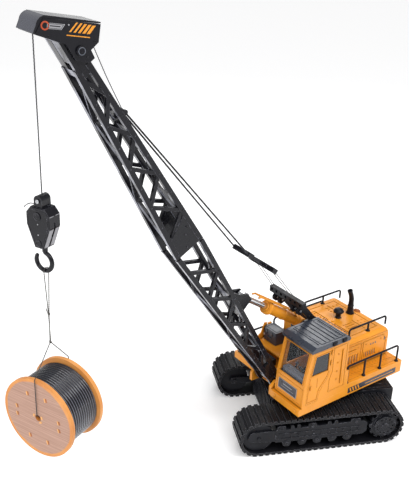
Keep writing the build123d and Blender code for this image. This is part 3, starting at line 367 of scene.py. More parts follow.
# Per finish: the edge colour is partly rubbed wear and partly a painted highlight, the crevice darkening is
# painted shade, and the boom's sheen on its front faces is a painted reflection.
MOULDINGS = {
    "body_orange": dict(color=ORANGE, rough=0.36, wear_and_highlight_color=ORANGE_WEAR_AND_HIGHLIGHT, edge_mm=0.7, coat=0.05, wear_and_highlight_amount=0.6,
                        cloud=0.05, shine=0.35, painted_crevice_shade=0.85),
    "hood_orange": dict(color=ORANGE, rough=0.38, wear_and_highlight_color=ORANGE_WEAR_AND_HIGHLIGHT, edge_mm=0.7, grain=0.16, coat=0.05,
                        wear_and_highlight_amount=0.6, cloud=0.07, shine=0.35, painted_crevice_shade=0.90),
    "roof_grey": dict(color=(0.030, 0.036, 0.052), rough=0.30, wear_and_highlight_color=(0.16, 0.18, 0.22), grain=0.12,
                      coat=0.1),
    "boom_black": dict(color=BLACK, rough=0.24, wear_and_highlight_color=(0.30, 0.30, 0.35), edge_mm=0.45, coat=0.15, wear_and_highlight_amount=1.0,
                       shine=0.20, painted_sheen_way=(0.86, 0.0, -0.51)),
    "trim_black": dict(color=BLACK, rough=0.36, wear_and_highlight_color=(0.10, 0.10, 0.12), edge_mm=0.4, grain=0.12, shine=0.2),
    "chassis_black": dict(color=(0.010, 0.0105, 0.014), rough=0.40, wear_and_highlight_color=(0.34, 0.34, 0.39), edge_mm=0.6,
                          grain=0.25, wear_and_highlight_amount=1.0, cloud=0.25, shine=0.2),
    "head_black": dict(color=(0.007, 0.007, 0.010), rough=0.22, wear_and_highlight_color=(0.12, 0.12, 0.14), grain=0.06,
                       coat=0.1, shine=0.2),
    "cap_grey": dict(color=(0.060, 0.064, 0.085), rough=0.16, wear_and_highlight_color=(0.35, 0.36, 0.40), edge_mm=0.8,
                     grain=0.06, coat=0.6),
    "iron": dict(color=(0.12, 0.12, 0.13), rough=0.6, wear_and_highlight_color=(0.2, 0.2, 0.2), grain=0.5),
    "emblem_red": dict(color=(0.42, 0.055, 0.012), rough=0.4, wear_and_highlight_color=(0.6, 0.2, 0.1), edge_mm=0.2),
    "board_green": dict(color=(0.02, 0.12, 0.05), rough=0.35, wear_and_highlight_color=(0.2, 0.3, 0.2), edge_mm=0.3, grain=0.2),
    "cell_wrap": dict(color=(0.03, 0.07, 0.22), rough=0.3, wear_and_highlight_color=(0.3, 0.3, 0.35), edge_mm=0.3),
    "reel_tan": dict(color=(0.82, 0.42, 0.14), rough=0.5, wear_and_highlight_color=(0.9, 0.6, 0.3), edge_mm=0.3, grain=0.4),
    "cap_brown": dict(color=(0.36, 0.105, 0.018), rough=0.4, wear_and_highlight_color=(0.6, 0.3, 0.1), edge_mm=0.4, grain=0.2),
    "strip_grey": dict(color=(0.035, 0.036, 0.048), rough=0.30, wear_and_highlight_color=(0.2, 0.2, 0.22), edge_mm=0.2,
                       grain=0.08),
    "label_grey": dict(color=(0.30, 0.30, 0.32), rough=0.35, wear_and_highlight_color=(0.5, 0.5, 0.5), edge_mm=0.2, grain=0.08),
    "dash_grey": dict(color=(0.13, 0.145, 0.18), rough=0.35, wear_and_highlight_color=(0.3, 0.3, 0.34), edge_mm=0.4, grain=0.12),
}


def make_materials():
    """Every paint of the toy by name."""
    flange_low, flange_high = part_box("reel_flange_front")
    rim_r = (flange_high.z - flange_low.z) / 2
    inner_face, outer_face = ((reach - REEL_CENTRE.dot(REEL_AXIS)) * MM
                              for reach in extent("reel_flange_front", REEL_AXIS))
    paints = {name: moulded(name, **look) for name, look in MOULDINGS.items()}
    paints.update({
        "track_rubber": rubber_material(),
        "ram_chrome": metal_material("ram_chrome", (0.78, 0.79, 0.82), 0.12),
        "steel": metal_material("steel", (0.55, 0.56, 0.58), 0.30),
        "motor_steel": metal_material("motor_steel", (0.42, 0.43, 0.45), 0.35),
        "window_glass": glass_material("clear_window", (0.30, 0.33, 0.35), (0.42, 0.45, 0.47), 0.06),
        "door_glass": glass_material("smoked_window", (0.006, 0.008, 0.011), (0.020, 0.024, 0.030), 0.90),
        "reel_wood": wood_material(outer_face, rim_r),
        "cable_black": cable_material(2 * inner_face / TURNS, inner_face),
        "cord_grey": cord_material("cord_grey", (0.012, 0.012, 0.014), (0.075, 0.075, 0.085)),
        "cord_pale": cord_material("cord_pale", (0.018, 0.016, 0.014), (0.10, 0.092, 0.082)),
    })
    return paints


# ---- mesh tools: everything from here on is in millimetres until a piece is made ----------------

def box_mm(node):
    """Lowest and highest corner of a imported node, in millimetres."""
    low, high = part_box(node)
    return low / MM, high / MM


def pivot_mm(name):
    """A hinge's place in millimetres."""
    return Vector(joint(name)["pos_m"]) / MM


def extent(node, axis):
    """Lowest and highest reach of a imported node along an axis, in millimetres."""
    reach = [v.co.dot(axis) / MM for v in frame["nodes"][node].data.vertices]
    return min(reach), max(reach)


def face_frame(origin, right, up, out):
    """A matrix whose X, Y and Z run right, up and outward over a face."""
    turn = Matrix((Vector(right), Vector(up), Vector(out))).transposed().to_4x4()
    return Matrix.Translation(Vector(origin)) @ turn


def run(start, end, step):
    """Evenly spaced points from start to end."""
    start, end = Vector(start), Vector(end)
    count = max(2, int((end - start).length / step))
    return [start.lerp(end, i / count) for i in range(count + 1)]


def eased(points, cut, step):
    """Evenly spaced points along a path whose corners are rounded."""
    points = [Vector(p) for p in points]
    made = []
    start = points[0]
    for before, corner, after in zip(points, points[1:], points[2:]):
        reach = min(cut, 0.45 * (corner - before).length, 0.45 * (after - corner).length)
        enter = corner + (before - corner).normalized() * reach
        leave = corner + (after - corner).normalized() * reach
        made += run(start, enter, step)[:-1]
        count = max(3, int(2 * reach / step))
        for i in range(count):
            t = i / count
            made.append(enter.lerp(corner, t).lerp(corner.lerp(leave, t), t))
        start = leave
    return made + run(start, points[-1], step)


class Piece:
    """Collects shapes into one mesh that rides on a body."""

    def __init__(self):
        self.bm = bmesh.new()

    def box(self, low, high, place=Matrix.Identity(4), bevel=0.35):
        """Block with rounded edges between two corners of a local frame."""
        low, high = Vector(low), Vector(high)
        middle, size = (low + high) / 2, high - low
        shape = place @ Matrix.Translation(middle) @ Matrix.Diagonal((*size, 1))
        verts = bmesh.ops.create_cube(self.bm, size=1.0, matrix=shape)["verts"]
        edges = list({e for v in verts for e in v.link_edges})
        bmesh.ops.bevel(self.bm, geom=edges, offset=min(bevel, 0.3 * min(size)), segments=2,
                        affect="EDGES", profile=0.5, clamp_overlap=True)

    def ridge(self, start, end, width, height, place, bevel=0.25):
        """Raised bar on a face, from one local point to another."""
        start, end = Vector(start), Vector(end)
        along = end - start
        turn = Matrix.Rotation(atan2(along.y, along.x), 4, "Z")
        local = place @ moved(start.x, start.y) @ turn
        self.box((-width / 2, -width / 2, -0.2), (along.length + width / 2, width / 2, height), local, bevel)

    def outline(self, points, width, height, place, closed=True):
        """Raised bars round an outline on a face."""
        ends = points[1:] + points[:1] if closed else points[1:]
        for start, end in zip(points, ends):
            self.ridge(start, end, width, height, place)

    def slab(self, points, thickness, place, lift=0.0):
        """Flat plate of any outline standing on a face, thickness outward."""
        bottom = [self.bm.verts.new(place @ Vector((x, y, lift))) for x, y in points]
        top = [self.bm.verts.new(place @ Vector((x, y, lift + thickness))) for x, y in points]
        self.bm.faces.new(bottom[::-1])
        self.bm.faces.new(top)
        for i in range(len(points)):
            j = (i + 1) % len(points)
            self.bm.faces.new((bottom[i], bottom[j], top[j], top[i]))

    def turned(self, profile, place, sides=32, closed=False):
        """Surface of revolution about a frame's Z from (radius, height) pairs."""
        rings = []
        for radius, height in profile:
            ring = []
            for k in range(sides):
                a = tau * k / sides
                ring.append(self.bm.verts.new(place @ Vector((radius * cos(a), radius * sin(a), height))))
            rings.append(ring)
        pairs = list(zip(rings, rings[1:]))
        if closed:
            pairs.append((rings[-1], rings[0]))
        self.skin(pairs)
        if not closed:
            self.bm.faces.new(rings[0][::-1])
            self.bm.faces.new(rings[-1])

    def skin(self, pairs):
        """Quads between neighbouring rings."""
        for lower, upper in pairs:
            for k in range(len(lower)):
                j = (k + 1) % len(lower)
                self.bm.faces.new((lower[k], lower[j], upper[j], upper[k]))

    def tube(self, points, radii, sides=12, strands=0, lay=1.0, hollow=0.0):
        """Round bar along points; strands and lay twist its section, hollow opens its far end."""
        if not isinstance(radii, (list, tuple)):
            radii = [radii] * len(points)
        side = (points[1] - points[0]).orthogonal().normalized()
        rings = []
        walked = 0.0
        for i, point in enumerate(points):
            before = points[max(i - 1, 0)]
            after = points[min(i + 1, len(points) - 1)]
            heading = (after - before).normalized()
            side = (side - heading * side.dot(heading)).normalized()
            other = heading.cross(side)
            walked += (point - before).length
            ring = []
            for k in range(sides):
                a = tau * k / sides
                r = radii[i]
                if strands:
                    r *= 0.86 + 0.14 * cos(strands * a - tau * walked / lay)
                ring.append(self.bm.verts.new(point + side * (r * cos(a)) + other * (r * sin(a))))
            rings.append(ring)
        if hollow:
            for depth in (0.0, 3.0):
                middle = points[-1] - heading * depth
                rings.append([self.bm.verts.new(middle + (v.co - points[-1]) * hollow)
                              for v in rings[len(points) - 1]])
        self.skin(zip(rings, rings[1:]))
        self.bm.faces.new(rings[0][::-1])
        self.bm.faces.new(rings[-1])

    def ball(self, centre, radius, flat=1.0):
        """Rounded bead."""
        place = Matrix.Translation(Vector(centre)) @ Matrix.Diagonal((1, 1, flat, 1))
        bmesh.ops.create_icosphere(self.bm, subdivisions=3, radius=radius, matrix=place)

    def screw(self, place, radius=1.5, height=0.8):
        """Domed screw head with a socket."""
        r, h = radius, height
        profile = [(r, -0.2), (r, 0.45 * h), (0.8 * r, 0.85 * h), (0.5 * r, h), (0.42 * r, h),
                   (0.36 * r, 0.4 * h), (0.05 * r, 0.35 * h)]
        self.turned(profile, place, 18)

    def screws(self, place, spots, radius=1.5, height=0.8):
        """Screw heads at several spots of a face."""
        for x, y in spots:
            self.screw(place @ moved(x, y), radius, height)

    def make(self, name, paint, body=None, replaces=(), sharp=38):
        """Turn the collected shapes into a painted object riding on a body."""
        bmesh.ops.recalc_face_normals(self.bm, faces=self.bm.faces)
        bmesh.ops.scale(self.bm, vec=(MM, MM, MM), verts=self.bm.verts)
        mesh = bpy.data.meshes.new(name)
        self.bm.to_mesh(mesh)
        self.bm.free()
        made = bpy.data.objects.new(name, mesh)
        smooth(mesh, sharp)
        mesh.materials.append(PAINTS[paint])
        bpy.context.scene.collection.objects.link(made)
        if body:
            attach(made, body)
        if replaces:
            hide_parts(*replaces)
        return made


def smooth(mesh, sharp):
    """Round shading that stays crisp at edges sharper than an angle."""
    for face in mesh.polygons:
        face.use_smooth = True
    mesh.set_sharp_from_angle(angle=radians(sharp))


UP = Vector((0, 0, 1))


def moved(x, y, z=0.0):
    """A move within a frame, or a frame standing on a level face."""
    return Matrix.Translation((x, y, z))


def turned_by(degrees):
    """A turn about a frame's Z."""
    return Matrix.Rotation(radians(degrees), 4, "Z")


def wall_frame(y):
    """A side of the crane at y: local X forward, Y up, Z outward."""
    return face_frame((0, y, 0), (1, 0, 0), UP, (0, 1 if y > 0 else -1, 0))


def front_frame(x):
    """A face at x that looks forward: local X to the cab's side, Y up, Z forward."""
    return face_frame((x, 0, 0), (0, 1, 0), UP, (1, 0, 0))


def rectangle(left, bottom, right, top):
    """Corners of an upright rectangle on a face."""
    return [(left, bottom), (right, bottom), (right, top), (left, top)]


# ---- reel, sling and hook ------------------------------------------------------------------------

REEL_AXIS = Vector(joint("reel_spin")["axis"])
REEL_SIDE = Vector(joint("sling_swing")["axis"])
REEL_CENTRE = pivot_mm("reel_spin")
TURNS = 13


def hang(n, w, z):
    """A point of the hanging load: n along the reel's axis, w across it, z above the floor."""
    return Vector((REEL_CENTRE.x, REEL_CENTRE.y, z)) + REEL_AXIS * n + REEL_SIDE * w


def make_winding():
    """Cable wound turn beside turn on a bored core."""
    low, high = box_mm("cable_winding")
    inner = extent("reel_flange_front", REEL_AXIS)[0] - REEL_CENTRE.dot(REEL_AXIS)
    cable_r = inner / TURNS
    path_r = (high.z - low.z) / 2 - cable_r
    first = -inner + cable_r
    per_turn = 56
    points = []
    for i in range(-per_turn // 2, (TURNS - 1) * per_turn + per_turn // 2 + 1):
        turn = min(max(i / per_turn, 0), TURNS - 1)
        a = tau * i / per_turn
        points.append(hang(first + 2 * cable_r * turn, path_r * cos(a), REEL_CENTRE.z + path_r * sin(a)))
    winding = Piece()
    winding.tube(points, cable_r * 1.02, 12)
    core = rectangle(5.6, -inner, path_r, inner)
    winding.turned(core, face_frame(REEL_CENTRE, REEL_SIDE, UP, REEL_AXIS), 48, closed=True)
    winding.make("wound_cable", "cable_black", "reel", ["cable_winding"])


def make_reel_trim():
    """Tan lips in the flange's slots, dark brown fillers painted as the shade in the slots, and tabs round its
    bore.
    """
    outer = extent("reel_flange_front", REEL_AXIS)[1] - REEL_CENTRE.dot(REEL_AXIS)
    tabs = Piece()
    shade = Piece()
    for end in (-1, 1):
        face = face_frame(REEL_CENTRE + REEL_AXIS * outer * end, REEL_SIDE * end, UP, REEL_AXIS * end)
        for w, z in ((31.5, 5.4), (13.5, 29.5)):
            for i in (-1, 1):
                for j in (-1, 1):
                    spot = face @ moved(i * w, j * z) @ turned_by(12)
                    tabs.box((-2.4, -2.9, -1.2), (-0.9, 2.6, 0.3), spot, 0.3)
                    # Painted shade: a dark brown filler in each slot's far half.
                    shade.box((-0.8, -2.8, -1.2), (1.8, 2.4, 0.08), spot, 0.1)
        for a in (20, 160, 305):
            spot = face @ turned_by(a)
            tabs.box((4.9, -2.0, -0.3), (7.4, 2.0, 0.5), spot, 0.3)
    tabs.make("flange_tabs", "reel_tan", "reel")
    shade.make("flange_slot_shade", "cap_brown", "reel")


def make_sling():
    """Twisted string: eye in the hook, knots, two legs over the flanges and through the bore."""
    low = box_mm("reel_sling")[0]
    string_r = 0.62
    hook_z = pivot_mm("sling_swing").z
    knot_z, apex_z, bore_z = hook_z - 54.0, hook_z - 91.0, low.z + 0.6
    rim = extent("reel_flange_front", REEL_AXIS)[1] - REEL_CENTRE.dot(REEL_AXIS) + 1.5
    top_z = box_mm("reel_flange_front")[1].z + 1.4
    sling = Piece()
    loop = [hang(0.5, 0, knot_z)]
    for a in range(0, 181, 15):
        loop.append(hang(4.0 * cos(radians(a)), 0, hook_z + 4.0 * sin(radians(a))))
    loop.append(hang(-0.5, 0, knot_z))
    sling.tube(eased(loop, 1.0, 0.5), string_r, 8, 2, 2.6)
    for n in (-0.5, 0.5):
        sling.tube(run(hang(n, 0, knot_z), hang(0, n, apex_z), 0.5), string_r, 8, 2, 2.6)
    legs = [hang(0, 0, apex_z), hang(rim, 0, top_z), hang(rim, 0, bore_z), hang(-rim, 0, bore_z),
            hang(-rim, 0, top_z), hang(0, 0, apex_z)]
    sling.tube(eased(legs, 1.6, 0.5), string_r, 8, 2, 2.6)
    for z, size in ((knot_z, 1.7), (apex_z, 1.6)):
        for turn in (0, 120, 240):
            a = radians(turn)
            sling.ball(hang(0.5 * cos(a), 0.5 * sin(a), z + 0.7 * sin(2 * a)), size * 0.72, 1.25)
    for n in (-0.9, 0.9):
        tail = [hang(0, 0, knot_z), hang(n, -1.6, knot_z + 2.5), hang(1.6 * n, -2.4, knot_z + 6.5)]
        sling.tube(eased(tail, 1.2, 0.5), string_r * 0.9, 8, 2, 2.6)
    sling.make("twisted_sling", "cord_pale", "sling", ["reel_sling"])


def make_lifting_hook():
    """Cast hook: shank and a bowl of round wire with a blunt tip."""
    low = box_mm("lifting_hook")[0]
    bowl_w, bowl_r, wire_r = -2.0, 11.0, 2.75
    centre_z = low.z + bowl_r + 2.8
    points = [hang(0, 0, z) for z in (389.0, 384.0, 378.0, 374.6)]
    radii = [3.2, 3.2, 3.2, 3.1]
    for a in range(76, -211, -6):
        swell = cos(radians(a + 55)) ** 2 if a < 35 else 0.0
        taper = min(1.0, (a + 216) / 40)
        points.append(hang(0, bowl_w + bowl_r * cos(radians(a)), centre_z + bowl_r * sin(radians(a))))
        radii.append((wire_r - 0.25 + 0.25 * swell) * (0.80 + 0.20 * taper))
    hook = Piece()
    hook.tube(points, radii, 20)
    hook.ball(points[-1], radii[-1] * 1.01)
    nut = [(2.0, 385.6), (4.3, 385.6), (4.6, 386.0), (4.6, 389.8), (4.3, 390.2), (2.0, 390.2)]
    hook.turned(nut, moved(REEL_CENTRE.x, REEL_CENTRE.y), 28)
    hook.make("cast_hook", "boom_black", "hook", ["lifting_hook"], 50)


def make_block_trim():
    """Pin rings, screws, bright edge faces and the free rope end of the hook block."""
    pin_z = pivot_mm("pulley_spin").z
    slant = (REEL_SIDE * 10.0 + UP * 25.7).normalized()
    steel = Piece()
    trim = Piece()
    edge = Piece()
    for side in (-1, 1):
        cheek = face_frame(hang(side * 9.2, 0, 0), REEL_SIDE * side, UP, REEL_AXIS * side)
        trim.outline([(-13.4, 418.6), (-13.4, 407.6), (-4.4, 384), (4.4, 384), (13.4, 407.6), (13.4, 418.6),
                      (8.4, 425.0), (-8.4, 425.0)], 0.8, 0.25, cheek)
        pin = [(4.6, -0.2), (4.6, 0.8), (4.0, 1.1), (3.4, 0.8), (2.6, 0.8), (2.2, 1.3), (0.2, 1.4)]
        trim.turned(pin, cheek @ moved(0, pin_z), 32)
        trim.turned([(3.9, -0.2), (3.9, 0.5), (3.1, 0.8), (2.8, 0.2), (0.2, 0.2)],
                    cheek @ moved(0, 387.2), 28)
        steel.screws(cheek, [(0, 409.2), (0, 397.0)], 0.75, 0.4)
        neck = face_frame(hang(side * 8.0, 0, 0), REEL_SIDE * side, UP, REEL_AXIS * side)
        steel.screw(neck @ moved(0, 434.8), 2.3, 0.7)
        for w_side in (-1, 1):
            up = Vector((slant.x * w_side, slant.y * w_side, slant.z))
            out = REEL_AXIS.cross(up) * w_side
            wall = face_frame(hang(0, w_side * 6.0, 381.0), REEL_AXIS, up, -out if out.z > 0 else out)
            near, far = sorted((side * 1.6, side * 8.0))
            edge.slab(rectangle(near, 1.6, far, 25.6), 0.2, wall, -0.05)
            brow = face_frame(hang(0, w_side * 16.0, 0), REEL_AXIS, UP, REEL_SIDE * w_side)
            edge.slab(rectangle(near, 419.7, far, 420.3), 0.2, brow, -0.05)
    trim.make("block_borders", "boom_black", "block")
    steel.make("block_screws", "steel", "block")
    edge.make("block_edges", "label_grey", "block")
    end = [hang(6.5, -4.8, 431.2), hang(6.3, -10.5, 430.6), hang(6.0, -16.0, 428.2), hang(5.8, -21.0, 423.8)]
    tail = Piece()
    tail.tube(eased(end, 2.4, 0.5), 0.6, 8, 3, 3.4)
    tail.ball(end[0], 0.9)
    tail.make("rope_end", "cord_grey", "block")


def make_ropes():
    """Hoist rope, luffing wires and stay line as twisted cord."""
    top = pivot_mm("rope_plumb")
    block_top = Vector((top.x, top.y, box_mm("hook_block")[1].z))
    rope = Piece()
    rope.tube(run(top, block_top - UP * 1.5, 0.6), 0.78, 10, 3, 3.6)
    rope = rope.make("twisted_rope", "cord_grey", None, ["hoist_rope"], 60)
    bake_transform(rope)
    low, high = box_mm("bridle_wires")
    wires = Piece()
    start, end = Vector((low.x + 0.4, 0, low.z + 0.3)), Vector((high.x - 0.4, 0, high.z - 0.3))
    for y_low, y_high in ((-29, -22), (-21, -12), (13, 12), (23, 22)):
        wires.tube(run(start + Vector((0, y_low, 0)), end + Vector((0, y_high, 0)), 0.6), 0.5, 8, 3, 2.4)
    wires = wires.make("twisted_wires", "cord_pale", None, ["bridle_wires"], 60)
    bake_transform(wires)
    low, high = box_mm("stay_line")
    stay = Piece()
    path = [Vector((high.x - 0.5, 0, high.z - 0.2)), Vector((335.6, 0, 587.0)), Vector((322.0, 0, 556.0)),
            Vector((low.x + 0.4, 0, low.z + 0.2))]
    stay.tube(eased(path, 8.0, 0.6), 0.55, 8, 3, 2.6)
    stay.make("twisted_stay", "cord_grey", "boom", ["stay_line"], 60)


# ---- boom and head -------------------------------------------------------------------------------

BOOM_ANGLE = radians(59.3)
BOOM_FOOT = pivot_mm("boom_luff")
CHORD_START, SPLICE, BOOM_TIP = 20, 298, 569


def boom_at(s, e, y):
    """A point s up the boom, e towards its rear face and y across it."""
    return BOOM_FOOT + Vector((s * cos(BOOM_ANGLE) - e * sin(BOOM_ANGLE), y,
                               s * sin(BOOM_ANGLE) + e * cos(BOOM_ANGLE)))


def boom_wall(y):
    """The boom's side at y: local X up the boom, Y to its rear, Z outward."""
    along = Vector((cos(BOOM_ANGLE), 0, sin(BOOM_ANGLE)))
    rear = Vector((-sin(BOOM_ANGLE), 0, cos(BOOM_ANGLE)))
    return face_frame(BOOM_FOOT + Vector((0, y, 0)), along, rear, (0, 1 if y > 0 else -1, 0))


def chord_lines(s):
    """Front and rear chord offsets and half-width of the boom at a station."""
    if s < SPLICE:
        share = (s - CHORD_START) / (SPLICE - CHORD_START)
        return -4.7 - 21.0 * share, 8.3 + 3.8 * share, 19.1
    share = (s - SPLICE) / (BOOM_TIP - SPLICE)
    return -25.7 + 15.4 * share, 12.1 - 8.7 * share, 19.1 - 3.0 * share


def make_boom_trim():
    """Bolts along the chords and splice, foot pin heads and the shade on the neck."""
    bolts = Piece()
    pins = Piece()
    for side in (-1, 1):
        plate = boom_wall(side * 18.5)
        splice = [(305, -24.4), (314, -23.6), (305, 10), (314, 10.4), (306, -8), (322, -2), (330, 4)]
        bolts.screws(plate, splice, 1.5, 0.9)
        bolts.screws(plate, [(14, 3), (34, 6.4), (34, -5.4)], 1.4, 0.8)
        for s in (*range(74, 290, 28), 352, 383, 412, 441, 470, 499, 527):
            front, rear, half = chord_lines(s)
            radius = 1.3 if s < SPLICE else 1.2
            bolts.screws(boom_wall(side * half), [(s, front), (s, rear)], radius, radius - 0.6)
    bolts.make("boom_bolts", "boom_black", "boom")
    low, high = box_mm("boom_foot_pin")
    for side, y in ((-1, low.y), (1, high.y)):
        pins.screw(wall_frame(y - side * 0.6) @ moved(BOOM_FOOT.x, BOOM_FOOT.z), 2.8, 1.2)
    pins.make("foot_pin_heads", "steel", "house")
    shade = Piece()
    rear = Vector((-sin(BOOM_ANGLE), 0, cos(BOOM_ANGLE)))
    front = face_frame(boom_at(0, -12.2, 0), (cos(BOOM_ANGLE), 0, sin(BOOM_ANGLE)), (0, -1, 0), -rear)
    shade.slab([(569, 1), (569, 12.6), (603, 12.6), (603, 1)], 0.3, front, -0.05)
    shade.make("neck_shade", "head_black", "boom")


def make_head_trim():
    """Slanted orange bars, plain emblem and screws on the head's cheeks, and the drum's knobs."""
    low, high = box_mm("head_housing")
    bars = Piece()
    plates = Piece()
    emblem = Piece()
    lines = Piece()
    screws = Piece()
    for y in (low.y, high.y):
        cheek = wall_frame(y)
        for i in range(5):
            top_x, top_z = 365.2 - 4.35 * i, 617.9 - 1.0 * i
            foot_x, foot_z = 373.4 - 4.7 * i, 609.4 - 0.8 * i
            wide = 1.9 + 0.45 * i
            bars.slab([(top_x - wide, top_z - 0.3), (top_x, top_z), (foot_x, foot_z),
                       (foot_x - wide, foot_z - 0.3)], 0.3, cheek, -0.05)
        bars.slab([(350.9, 602.0), (376.0, 606.1), (376.0, 607.1), (350.9, 603.0)], 0.3, cheek, -0.05)
        emblem.turned([(4.4, -0.1), (4.4, 0.35), (2.9, 0.35), (2.9, -0.1)],
                      cheek @ moved(398.0, 617.0), 32, closed=True)
        plates.slab([(377.0, 616.9), (381.2, 611.9), (393.5, 613.6), (396.2, 614.6), (395.6, 618.6),
                     (392.4, 619.2)], 0.35, cheek, -0.05)
        plates.turned([(0.8, -0.1), (0.8, 0.3), (0.1, 0.4)], cheek @ moved(373.3, 616.2), 16)
        lines.outline([(378.9, 616.4), (381.9, 612.7), (393.4, 614.4), (395.2, 615.2), (394.8, 618.0),
                       (392.3, 618.5)], 0.5, 0.45, cheek)
        lines.ridge((382.6, 615.0), (392.6, 616.5), 1.1, 0.45, cheek)
        screws.screws(cheek, [(354, 583.5), (345.5, 598.5), (395, 606.5)], 1.3, 0.7)
    bars.make("head_bars", "body_orange", "boom")
    plates.make("head_plate", "label_grey", "boom")
    emblem.make("head_ring", "emblem_red", "boom")
    lines.make("head_plate_lines", "head_black", "boom")
    screws.make("head_screws", "head_black", "boom")
    knobs = Piece()
    rings = Piece()
    low, high = box_mm("winch_drum")
    middle = pivot_mm("drum_spin")
    for y in (low.y, high.y):
        face = wall_frame(y) @ moved(middle.x, middle.z)
        knob = [(4.4, -0.3), (4.4, 0.15), (3.2, 0.4), (3.0, 0.1), (1.6, 0.1), (1.4, 0.5), (0.2, 0.6)]
        knobs.turned(knob, face, 28)
        rings.turned([(3.9, 0.1), (3.9, 0.5), (3.3, 0.5), (3.3, 0.1)], face, 32, closed=True)
        for k in range(12):
            grip = face @ turned_by(30 * k)
            knobs.box((4.6, -0.5, -2.0), (5.3, 0.5, -0.2), grip, 0.2)
    knobs.make("drum_knobs", "trim_black", "drum")
    rings.make("knob_rings", "dash_grey", "drum")


def make_head_cap():
    """Glossy cap of the boom head with a rounded nose, and its black cheeks."""
    low, high = box_mm("head_cap")
    top = [(338.5, 615.4), (338.7, 616.9), (398.3, 626.8)]
    for a in range(80, 9, -14):
        top.append((396.6 + 10.6 * cos(radians(a)), 616.0 + 10.6 * sin(radians(a))))
    top += [(410.4, 610.3), (408.4, 609.6), (407.4, 611.4), (399.5, 624.0)]
    shell = Piece()
    shell.slab(top, high.y - low.y - 1.6, face_frame((0, low.y + 0.8, 0), (1, 0, 0), UP, (0, 1, 0)))
    shell.make("smooth_cap", "cap_grey", "boom", ["head_cap"], 40)
    cheeks = Piece()
    for y in (low.y, high.y - 0.8):
        cheeks.slab(top, 0.8, face_frame((0, y, 0), (1, 0, 0), (0, 0, 1), (0, 1, 0)))
    cheeks.make("cap_cheeks", "head_black", "boom", (), 40)


def make_ram_trim():
    """Collar rings and gland of the luffing ram."""
    base = pivot_mm("ram_pivot")
    slide = joint("ram_stroke")["axis"]
    along = Vector(slide).normalized()
    place = face_frame(base, (0, 1, 0), along.cross(Vector((0, 1, 0))), along)
    rings = Piece()
    for t, r in ((10.5, 8.0), (44, 8.0), (74.5, 8.0)):
        collar = [(r - 0.4, t), (r + 0.7, t + 0.3), (r + 0.9, t + 1.2), (r + 0.7, t + 2.1),
                  (r - 0.4, t + 2.4)]
        rings.turned(collar, place, 36)
    rings.turned([(9.4, 77.6), (10.4, 78.2), (10.5, 80), (9.7, 81)], place, 36)
    rings.make("ram_rings", "body_orange", "barrel")
    gland = Piece()
    gland.turned([(4.7, 84.5), (6.9, 84.5), (7.1, 85.3), (6.4, 86.1), (4.7, 86.1)], place, 36)
    gland.make("ram_gland", "body_orange", "barrel")


def make_gantry_trim():
    """Bolts of the raised frame and the small pulleys under its bar."""
    foot_z = box_mm("gantry_frame")[0].z + 3.0
    bolts = Piece()
    for side in (-1, 1):
        bolts.screws(moved(0, 0, foot_z), [(-41, side * 20), (-34, side * 20)], 1.4, 0.9)
        leg = wall_frame(side * 22)
        bolts.screws(leg, [(-20, 149.5), (-3, 166.5), (14, 185), (33, 210)], 1.5, 0.9)
    bolts.make("gantry_bolts", "boom_black", "house")
    bar = pivot_mm("bridle_pivot")
    wheels = Piece()
    hubs = Piece()
    for y in (-25, -14, 14, 25):
        wheel = wall_frame(y) @ moved(bar.x - 1.0, bar.z - 11.5)
        wheels.turned([(6.0, -2.0), (6.0, -1.2), (4.8, -0.4), (4.8, 0.4), (6.0, 1.2), (6.0, 2.0)], wheel, 28)
        wheels.box((-2.0, 0.0, 2.3), (2.0, 9.0, 3.3), wheel)
        wheels.box((-2.0, 0.0, -3.3), (2.0, 9.0, -2.3), wheel)
        hubs.turned([(1.6, -3.6), (1.6, 3.6)], wheel, 16)
    wheels.make("gantry_wheels", "trim_black", "house")
    hubs.make("gantry_hubs", "steel", "house")


# ---- house ---------------------------------------------------------------------------------------

def make_stacks():
    """Flared, bent exhaust and mushroom air intake."""
    low, high = box_mm("exhaust_stack")
    x, y = low.x + 5.5, (low.y + high.y) / 2
    base = low.z
    levels = [(0, 5.4), (0.8, 5.5), (2.2, 5.3), (3.6, 4.6), (5.5, 4.3), (9, 4.1), (12.4, 3.95), (13, 4.35),
              (14.2, 4.35), (14.8, 3.85), (19, 3.6), (23, 3.5)]
    points = [Vector((x, y, base + z)) for z, r in levels]
    radii = [r for z, r in levels]
    bend = [(0.5, 27.0, 3.45), (1.6, 31.0, 3.4), (3.1, 35.0, 3.35), (4.6, 38.6, 3.35), (5.2, 40.2, 3.6),
            (5.6, 41.2, 3.6)]
    points += [Vector((x + dx, y, base + z)) for dx, z, r in bend]
    radii += [r for dx, z, r in bend]
    stack = Piece()
    stack.tube(points, [r * 1.14 for r in radii], 28, hollow=0.72)
    stack.make("bent_exhaust", "trim_black", "house", ["exhaust_stack"], 30)
    low, high = box_mm("air_intake")
    place = moved((low.x + high.x) / 2, (low.y + high.y) / 2, low.z)
    intake = Piece()
    mushroom = [(4.9, -0.1), (4.9, 1.0), (4.1, 1.8), (3.9, 8.4), (4.6, 9.2), (7.3, 9.4), (7.9, 9.9),
                (8.0, 11.2), (7.7, 12.3), (7.2, 12.6), (7.0, 13.4), (5.6, 14.9), (3.4, 15.7), (0.4, 16.0)]
    intake.turned(mushroom, place, 40)
    for k in range(16):
        rib = place @ turned_by(22.5 * k)
        intake.box((7.4, -0.45, 10.0), (8.15, 0.45, 12.1), rib, 0.2)
    intake.make("mushroom_intake", "trim_black", "house", ["air_intake"], 30)


